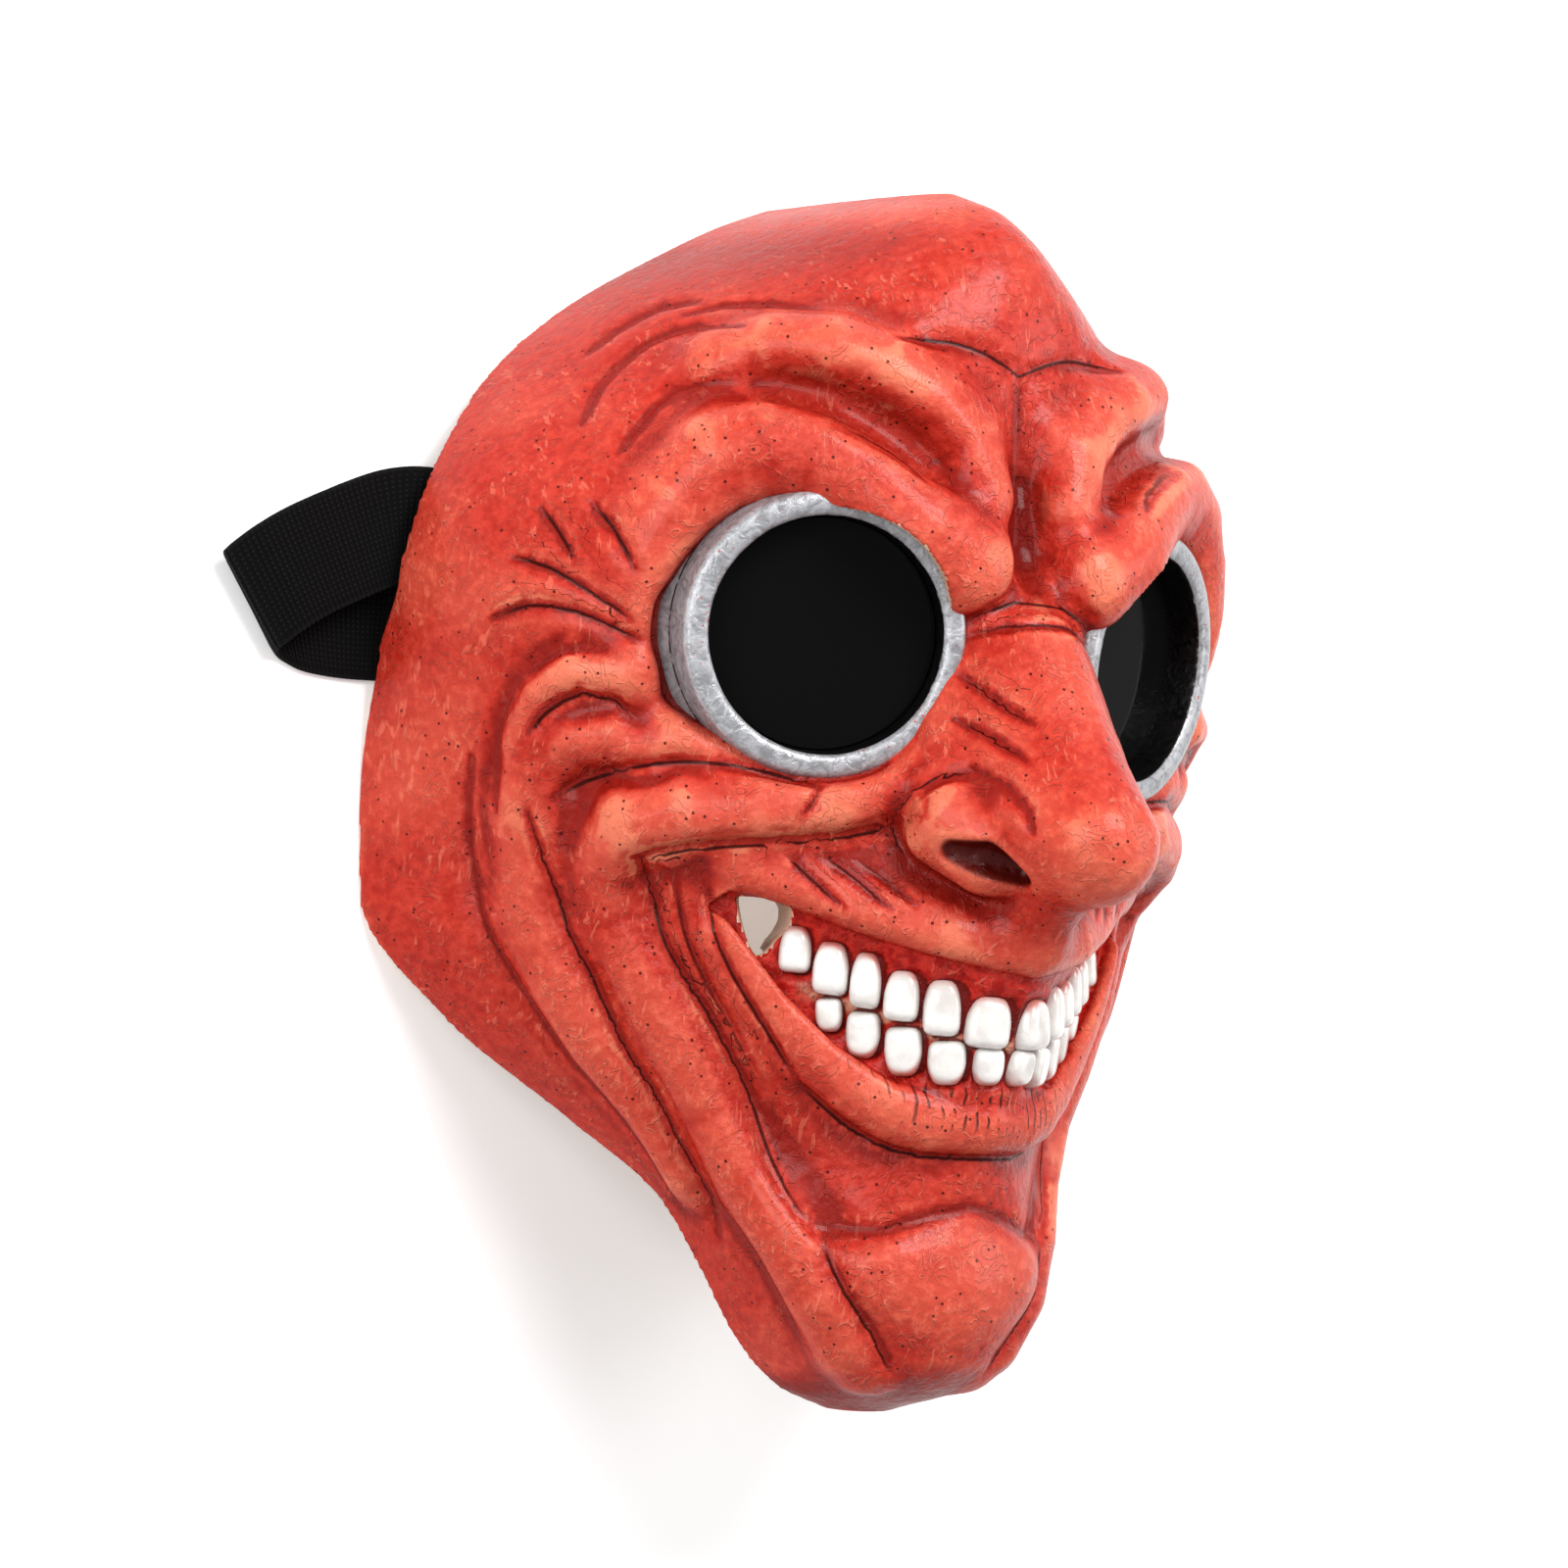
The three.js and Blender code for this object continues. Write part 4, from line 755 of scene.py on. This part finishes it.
def tooth_enamel():
    """Glossy white paint on the teeth, thin and grey-pink towards the gums."""
    n = Nodes("tooth_enamel", Roughness=0.22, Coat_Weight=0.4, Coat_Roughness=0.08)
    thick = n.noise(160, 3)
    colour = n.mix(n.fit(thick, 0.3, 0.6), srgb(206, 201, 196), srgb(226, 222, 218))
    thin = n.math("MULTIPLY", n.fit(n.field("edge"), 0.45, 1.0), n.fit(thick, 0.35, 0.6, 0.3, 1))
    colour = n.mix(thin, colour, srgb(196, 110, 98))
    n.set(Base_Color=colour, Roughness=n.fit(thick, 0.3, 0.7, 0.16, 0.3),
          Normal=n.bump(n.noise(260, 3), 0.0005, 0.7))
    return n.material


def smoked_plastic():
    """Tinted lens, near black in the mass, clear enough to see the goggle's wall through it at a slant."""
    n = Nodes("smoked_plastic", Roughness=0.06, IOR=1.49, Base_Color=(0.003, 0.003, 0.003, 1),
              Specular_IOR_Level=0.06, Alpha=0.992)
    scuff = n.noise(60, 4, 0.6)
    n.set(Roughness=n.fit(scuff, 0.4, 0.7, 0.04, 0.12), Normal=n.bump(n.noise(25, 1), 0.0004, 0.15))
    return n.material


# Pitch of the elastic's weave along the band and across it
RIB_PITCH, CORD_PITCH = 1.25, 1.15


def woven_elastic():
    """Black knitted elastic: ribs across the band, a grid of small lighter loops, plain edges."""
    n = Nodes("woven_elastic", Roughness=0.85, Sheen_Weight=0.02, Sheen_Roughness=0.5,
              Specular_IOR_Level=0.1)
    run, across = n.field("run"), n.field("across")
    rib = n.math("SINE", n.math("MULTIPLY", run, 2 * math.pi / RIB_PITCH))
    cord = n.math("SINE", n.math("MULTIPLY", across, 2 * math.pi / CORD_PITCH))
    loops = n.math("MULTIPLY", n.fit(rib, 0.0, 0.9), n.fit(cord, 0.0, 0.9))
    fluff = n.noise(1800, 3)
    inner = n.fit(n.math("ABSOLUTE", across), 11.2, 10.6)
    lit = n.math("MULTIPLY", n.math("MULTIPLY", loops, inner), n.fit(fluff, 0.3, 0.7, 0.3, 0.8))
    colour = n.mix(lit, srgb(2, 2, 3), srgb(32, 32, 34))
    colour = n.mix(n.fit(n.math("ABSOLUTE", across), 11.2, 12.0, 0, 0.3), colour, srgb(26, 26, 28))
    height = n.math("MULTIPLY_ADD", rib, 0.5, n.math("MULTIPLY", fluff, 0.4))
    height = n.math("MULTIPLY_ADD", loops, 0.8, height)
    n.set(Base_Color=colour, Normal=n.bump(height, 0.0004, 0.8))
    return n.material


def pale_floor():
    """Near-white floor that glows faintly, so it stays pale."""
    n = Nodes("pale_floor", Roughness=0.6)
    n.set(Emission_Color=(1, 1, 1, 1), Emission_Strength=0.16)
    n.set(Base_Color=n.mix(n.noise(3, 2), srgb(250, 250, 250), srgb(252, 252, 252)),
          Normal=n.bump(n.noise(200, 2), 0.0002, 0.1))
    return n.material


RED, CREAM, SILVER, ENAMEL, SMOKED, ELASTIC = (make() for make in (
    red_paint, cream_latex, silver_paint, tooth_enamel, smoked_plastic, woven_elastic))


# Skin
def latex_skin():
    """The cast skin, with the fields that its paint and painted shade follow kept on its points."""
    verts, faces = nets(solid, (0, -134.5, -1.5), (112, 140.5, 146), CELL)
    rough = bpy.data.objects.new("rough", mesh_of("rough", verts, faces))
    bpy.context.collection.objects.link(rough)
    thin = rough.modifiers.new("thin", "DECIMATE")
    thin.ratio = min(1.0, MOST_TRIANGLES / (2 * len(faces)))
    mesh = bpy.data.meshes.new_from_object(rough.evaluated_get(bpy.context.evaluated_depsgraph_get()))
    bpy.data.objects.remove(rough)
    mesh.name = "latex_skin"
    p = points_of(mesh)
    p[:, 2] = np.maximum(p[:, 2], 0.0)
    q = p.copy()
    q[:, 0] = np.abs(q[:, 0])
    slope = probe(solid, q, 0.45)[0]
    mirror = np.where(p[:, :1] < 0, [-1.0, 1, 1], [1.0, 1, 1])
    normal = slope * mirror / np.maximum(np.linalg.norm(slope, axis=1, keepdims=True), 1e-6)
    _, g, base = skin(q)
    bend = probe(lambda at: skin(at)[1], q, 1.8)[1]
    wide = probe(forms, q, 5.0)[1]
    attribute(mesh, "crease", np.clip(creases(q) / 3.5, 0, 1))
    line, cut = crease_lines(q)
    attribute(mesh, "line", line)
    attribute(mesh, "cut", cut)
    h, r = eye_frame(q)
    # Band of skin round each goggle's foot, for a painted shadow in the gap
    seat = np.clip(1 - np.abs(r - 33.5) / 3.5, 0, 1) * np.clip(1 - np.abs(h + 11) / 6, 0, 1)
    attribute(mesh, "seat", seat)
    attribute(mesh, "facing", normal[:, 2])
    attribute(mesh, "nostril", np.clip(1 - chain(q, NOSTRIL[1]) / 1.5, 0, 1))
    # The flat at the crown has edges, but no dry brush
    attribute(mesh, "ridge", np.clip(bend * 2.2 + wide * 4.5, -1, 1) * np.clip((130 - p[:, 1]) / 8, 0, 1))
    m = mouth(q)
    gum = np.clip((m + 1.0) / 1.5, 0, 1) * np.clip(1.5 - np.abs(base - gum_level(turn_of(q)) - 1) / 3, 0, 1)
    attribute(mesh, "gum", gum)
    attribute(mesh, "tooth", np.where(gum > 0, tooth_distance(q), 20))
    under_edge = np.interp(q[:, 0], LIP_X, LIP_LOW) - q[:, 1]
    lip = np.clip((under_edge + 1) / 2, 0, 1) * np.clip((10 - under_edge) / 3, 0, 1)
    lip = lip * np.clip(1.3 - np.abs(chain(q, LOWER_LIP_LINE)) / 3.5, 0, 1)
    lip = lip * np.clip(1.2 - q[:, 0] / 30, 0, 1)
    attribute(mesh, "lip", lip)
    bite = np.interp(np.abs(turn_of(q)), *BITE_LINE)
    attribute(mesh, "bite", gum * np.clip(1.5 - np.abs(q[:, 1] - bite) / 1.2, 0, 1)
              * np.clip((27 - np.abs(turn_of(q))) / 2, 0, 1))
    mesh.normals_split_custom_set_from_vertices(normal)
    cream = g < -0.7
    mesh.materials.append(RED)
    mesh.materials.append(CREAM)
    corners = np.empty(len(mesh.loops), np.int32)
    mesh.loops.foreach_get("vertex_index", corners)
    starts = np.empty(len(mesh.polygons), np.int32)
    mesh.polygons.foreach_get("loop_start", starts)
    bare = np.add.reduceat(cream[corners].astype(int), starts) >= 2
    mesh.polygons.foreach_set("material_index", bare.astype(np.int32))
    mesh.polygons.foreach_set("use_smooth", [True] * len(mesh.polygons))
    return piece("latex_skin", mesh, "skin", "mask_shell")


def grid_faces(rows, columns, wrap_rows=False, wrap_columns=False):
    """Faces over a grid of points, joined on themselves where they wrap."""
    i = np.arange(rows if wrap_rows else rows - 1)[:, None]
    j = np.arange(columns if wrap_columns else columns - 1)[None, :]
    i, j = np.broadcast_arrays(i, j)
    i1, j1 = (i + 1) % rows, (j + 1) % columns
    corners = [i * columns + j, i1 * columns + j, i1 * columns + j1, i * columns + j1]
    return np.stack(corners, -1).reshape(-1, 4)


def eye_axes(side):
    """Goggle centre, its axis out of the face, and two directions across it."""
    axis = EYE_AXIS * (side, 1, 1)
    outward = np.array([side, 0, 0]) - axis * axis[0] * side
    outward /= np.linalg.norm(outward)
    return EYE * (side, 1, 1), axis, outward, np.cross(axis, outward)


# Goggle rim from the foot of the bore round its front to its outer foot: radius, height, share of RIM_SHIFT
# towards the temple, and dark, 1 in a seam (dirt in the groove, painted shade at the foot) and 2 black
# paint in the bore
RIM_SHIFT = 3.0
RIM_PROFILE = [
    (23.4, -20, 0, 2), (23.4, -10.4, 0, 2), (24.9, -10.2, 0, 2), (25, -5, 0, 2), (25.15, -1.5, 0, 2),
    (25.3, -0.9, 0, 0.4), (25.9, -0.3, 0, 0), (27, 0, 0, 0), (28.6, -0.05, 0.05, 0), (29.7, -0.4, 0.1, 0),
    (30.3, -1.2, 0.1, 0), (30.6, -2.6, 0.1, 0), (30.8, -4.2, 0.15, 0.3), (31, -6, 0.3, 0),
    (31.2, -7.6, 0.35, 0), (31.3, -8.2, 0.4, 1), (31.5, -8.7, 0.45, 0.2), (32, -10.4, 0.8, 0),
    (32.4, -12.6, 1, 0.2), (32.2, -16, 1, 0.8), (31, -20, 0.5, 1),
]


def goggle_rim(side, name):
    """Silver rim of one goggle, a little uneven round its outside."""
    profile = np.array(RIM_PROFILE)
    profile = np.vstack([profile, profile[:1]])
    fine = np.vstack([a + (b - a) * t for a, b in zip(profile[:-1], profile[1:]) for t in (0, 0.5)])
    turns = 144
    a = np.arange(turns) * 2 * np.pi / turns
    centre, axis, outward, up = eye_axes(side)
    rng = np.random.default_rng(7 + side)
    phase = rng.uniform(0, 6.28, 6)
    wobble = sum(np.sin(k * a + f) / k for k, f in zip((2, 3, 5, 7, 11, 16), phase))[:, None] * 0.16
    radius = fine[None, :, 0] + np.where(fine[None, :, 0] > 25.1, wobble, 0)
    around = np.cos(a)[:, None, None] * outward + np.sin(a)[:, None, None] * up
    verts = (centre + radius[..., None] * around + fine[None, :, 1, None] * axis
             + RIM_SHIFT * fine[None, :, 2, None] * outward)
    mesh = mesh_of(name, verts.reshape(-1, 3), grid_faces(turns, len(fine), True, True)[:, ::side])
    attribute(mesh, "seam", np.tile(fine[:, 3], turns))
    mesh.materials.append(SILVER)
    return piece(name, mesh, "skin", "mask_shell")


def goggle_lens(side, name, node):
    """Flat disc with a rounded edge."""
    edge = [(24.69, -9.9), (24.69, -8.1), (24.5, -8.0)]
    rings = [(0.01, -10), (8, -10), (16, -10), (24.4, -10)] + edge + [(16, -8), (8, -8), (0.01, -8)]
    turns = 96
    a = np.arange(turns) * 2 * np.pi / turns
    centre, axis, outward, up = eye_axes(side)
    verts = [centre + r * (np.cos(t) * outward + np.sin(t) * up) + h * axis for t in a for r, h in rings]
    mesh = mesh_of(name, verts, grid_faces(turns, len(rings), True, True)[:, ::side], smooth=False)
    mesh.materials.append(SMOKED)
    return piece(name, mesh, "lens", node)


# Tooth crown: depth in the gum, squareness from the front, rise and spread of its side, taper at the root
TOOTH_SUNK, TOOTH_SQUARE, TOOTH_RISE, TOOTH_SPREAD, ROOT_TAPER = 1.5, 5, 0.7, 0.4, 0.26


def tooth_points(side, angle, y, width, height, upper, rng):
    """Points of a rounded crown on the gum, how near each is to its root's outline, and its faces."""
    level = gum_level(angle)
    foot, ahead = on_head(angle, y, level - TOOTH_SUNK), on_head(angle, y, level + TOOTH_PROUD)
    across = on_head(angle + 1, y, gum_level(angle + 1) - TOOTH_SUNK) - foot
    across = np.array([across[0], 0, across[2]]) / math.hypot(across[0], across[2])
    out = np.array([-across[2], 0, across[0]])
    out *= np.sign(out[2])
    deep = (ahead - foot) @ out
    bands, turns = 14, 40
    t = np.linspace(0, np.pi / 2, bands)[:, None]
    a = (np.arange(turns) * 2 * np.pi / turns)[None, :]
    c, s = np.cos(a), np.sin(a)
    square = (np.abs(c) ** TOOTH_SQUARE + np.abs(s) ** TOOTH_SQUARE) ** (-1 / TOOTH_SQUARE)
    rise, spread = np.sin(t) ** TOOTH_RISE, np.cos(t) ** TOOTH_SPREAD
    u, v = c * square * spread, s * square * spread
    root = v if upper else -v
    u = u * (1 - ROOT_TAPER * np.clip(root, 0, 1) ** 1.5) + 0.04 * rng.uniform(-1, 1) * root
    v = v * (1 + 0.10 * np.clip(1 - u * u, 0, 1) * np.clip(root, 0, 1))
    lift = rise * deep * (1 - 0.1 * root) + 0 * a
    tilt = rng.uniform(-0.05, 0.05)
    u, v = u + tilt * v, v - tilt * u
    points = (foot + (u * width / 2)[..., None] * across + (v * height / 2)[..., None] * np.array([0, 1, 0])
              + lift[..., None] * out) * (side, 1, 1)
    edge = np.clip(np.hypot(u, v) ** 2, 0, 1) * np.clip(0.5 + 0.5 * root, 0, 1) + 0 * t
    return points.reshape(-1, 3), edge.ravel(), grid_faces(bands, turns, False, True)[:, ::-side]


def teeth():
    """All the crowns of both rows, in one mesh."""
    rng = np.random.default_rng(3)
    verts, edges, faces, count = [], [], [], 0
    for side in (-1, 1):
        for upper, row in ((True, UPPER_TEETH), (False, LOWER_TEETH)):
            for size in row:
                p, e, f = tooth_points(side, *size, upper, rng)
                verts.append(p)
                edges.append(e)
                faces.append(f + count)
                count += len(p)
    mesh = mesh_of("teeth", np.vstack(verts), np.vstack(faces))
    attribute(mesh, "edge", np.concatenate(edges))
    mesh.materials.append(ENAMEL)
    return piece("teeth", mesh, "skin", "mask_shell")


# Strap: middle line from the glued end inside the right wall, out under the rim, round a soft fold and back
# over the table to the left wall, and how far its width leans from +Y there, in degrees
STRAP_WIDTH, STRAP_THICKNESS = 25.0, 1.4
STRAP_PATH = [
    (-87.9, 56, 36, -18), (-90.3, 56, 27, -18), (-92.9, 56, 17, -18), (-94.6, 56, 10.5, -17),
    (-98.2, 55.9, 8.2, -8), (-102, 55.2, 8, 5), (-107.5, 53.4, 8.4, 20), (-116, 49.6, 8.9, 26),
    (-125, 45, 9, 30), (-131, 41, 8.6, 33), (-134.6, 37.6, 7, 35), (-135.6, 35.8, 4.9, 36),
    (-134.4, 35, 2.6, 34), (-130.5, 34.2, 1.2, 28), (-121, 33.4, 1, 14), (-105, 33.3, 1, 3),
    (-80, 35, 1, -5), (-40, 41, 1, -8), (0, 47, 1, -8), (40, 52, 1, -6), (72, 55, 1, 0), (85, 56, 1.8, 8),
    (92, 56, 5, 14), (94.6, 56, 10.5, 17), (92.9, 56, 17, 18), (90.3, 56, 27, 18), (87.9, 56, 36, 18),
]


def strap():
    """Flat band with thin round edges and faint ribs."""
    line = smooth_path(STRAP_PATH, 1.2)
    middle, lean = line[:, :3], np.radians(line[:, 3])
    tangent = np.gradient(middle, axis=0)
    tangent /= np.linalg.norm(tangent, axis=1, keepdims=True)
    wide = np.stack([-np.sin(lean), np.cos(lean), 0 * lean], 1)
    thick = np.cross(tangent, wide)
    thick /= np.linalg.norm(thick, axis=1, keepdims=True)
    run = np.concatenate([[0], np.cumsum(np.linalg.norm(np.diff(middle, axis=0), axis=1))])
    half, round_end = STRAP_WIDTH / 2, 0.45
    flat = np.linspace(-half + 0.5, half - 0.5, 13)
    ring = [(u, -STRAP_THICKNESS / 2) for u in flat] + [(half, -round_end), (half, round_end)]
    ring += [(u, STRAP_THICKNESS / 2) for u in flat[::-1]] + [(-half, round_end), (-half, -round_end)]
    ring = np.array(ring)
    ribs = 1 + 0.06 * np.sin(run * 2 * np.pi / 2.5)[:, None]
    swell = np.where(np.abs(ring[None, :, 0]) < half - 0.6, ribs, 0.8)
    verts = (middle[:, None] + ring[None, :, :1] * wide[:, None]
             + (ring[None, :, 1] * swell)[..., None] * thick[:, None])
    mesh = mesh_of("strap", verts.reshape(-1, 3), grid_faces(len(line), len(ring), False, True)[:, ::-1])
    attribute(mesh, "run", np.repeat(run, len(ring)))
    attribute(mesh, "across", np.tile(ring[:, 0], len(line)))
    mesh.materials.append(ELASTIC)
    return piece("woven_strap", mesh, "strap", "elastic_strap")


latex_skin()
teeth()
for side, where in ((-1, "right"), (1, "left")):
    goggle_rim(side, f"goggle_rim_{where}")
    goggle_lens(side, f"smoked_lens_{where}", f"lens_{where}")
strap()

# Floor and light
floor_mesh = bpy.data.meshes.new("floor")
floor_mesh.from_pydata([(-6, -6, 0), (6, -6, 0), (6, 6, 0), (-6, 6, 0)], [], [(0, 1, 2, 3)])
floor_mesh.materials.append(pale_floor())
floor = bpy.data.objects.new("floor", floor_mesh)
bpy.context.collection.objects.link(floor)

world = bpy.data.worlds.new("studio")
bpy.context.scene.world = world
world.use_nodes = True
world.node_tree.nodes["Background"].inputs[0].default_value = (1, 1, 1, 1)
world.node_tree.nodes["Background"].inputs[1].default_value = 0.45


def softbox(name, at, size, power, aim=(0.02, 0, 0.07)):
    """Square area light, in metres and watts."""
    data = bpy.data.lights.new(name, "AREA")
    data.size, data.energy = size, power
    lamp = bpy.data.objects.new(name, data)
    lamp.location = at
    lamp.rotation_euler = (Vector(at) - Vector(aim)).to_track_quat("Z", "Y").to_euler()
    bpy.context.collection.objects.link(lamp)


softbox("key", (0.05, 0.6, 0.85), 0.5, 10)
softbox("fill", (0.7, 0.1, 0.65), 0.5, 3)
softbox("left", (-0.75, 0.15, 0.5), 0.5, 4.5)
softbox("hollow", (0.02, -0.01, 0.05), 0.06, 0.011, (0.02, -0.01, 0))
bpy.data.lights["hollow"].color = (1, 0.86, 0.74)
bpy.context.scene.view_settings.view_transform = "Standard"
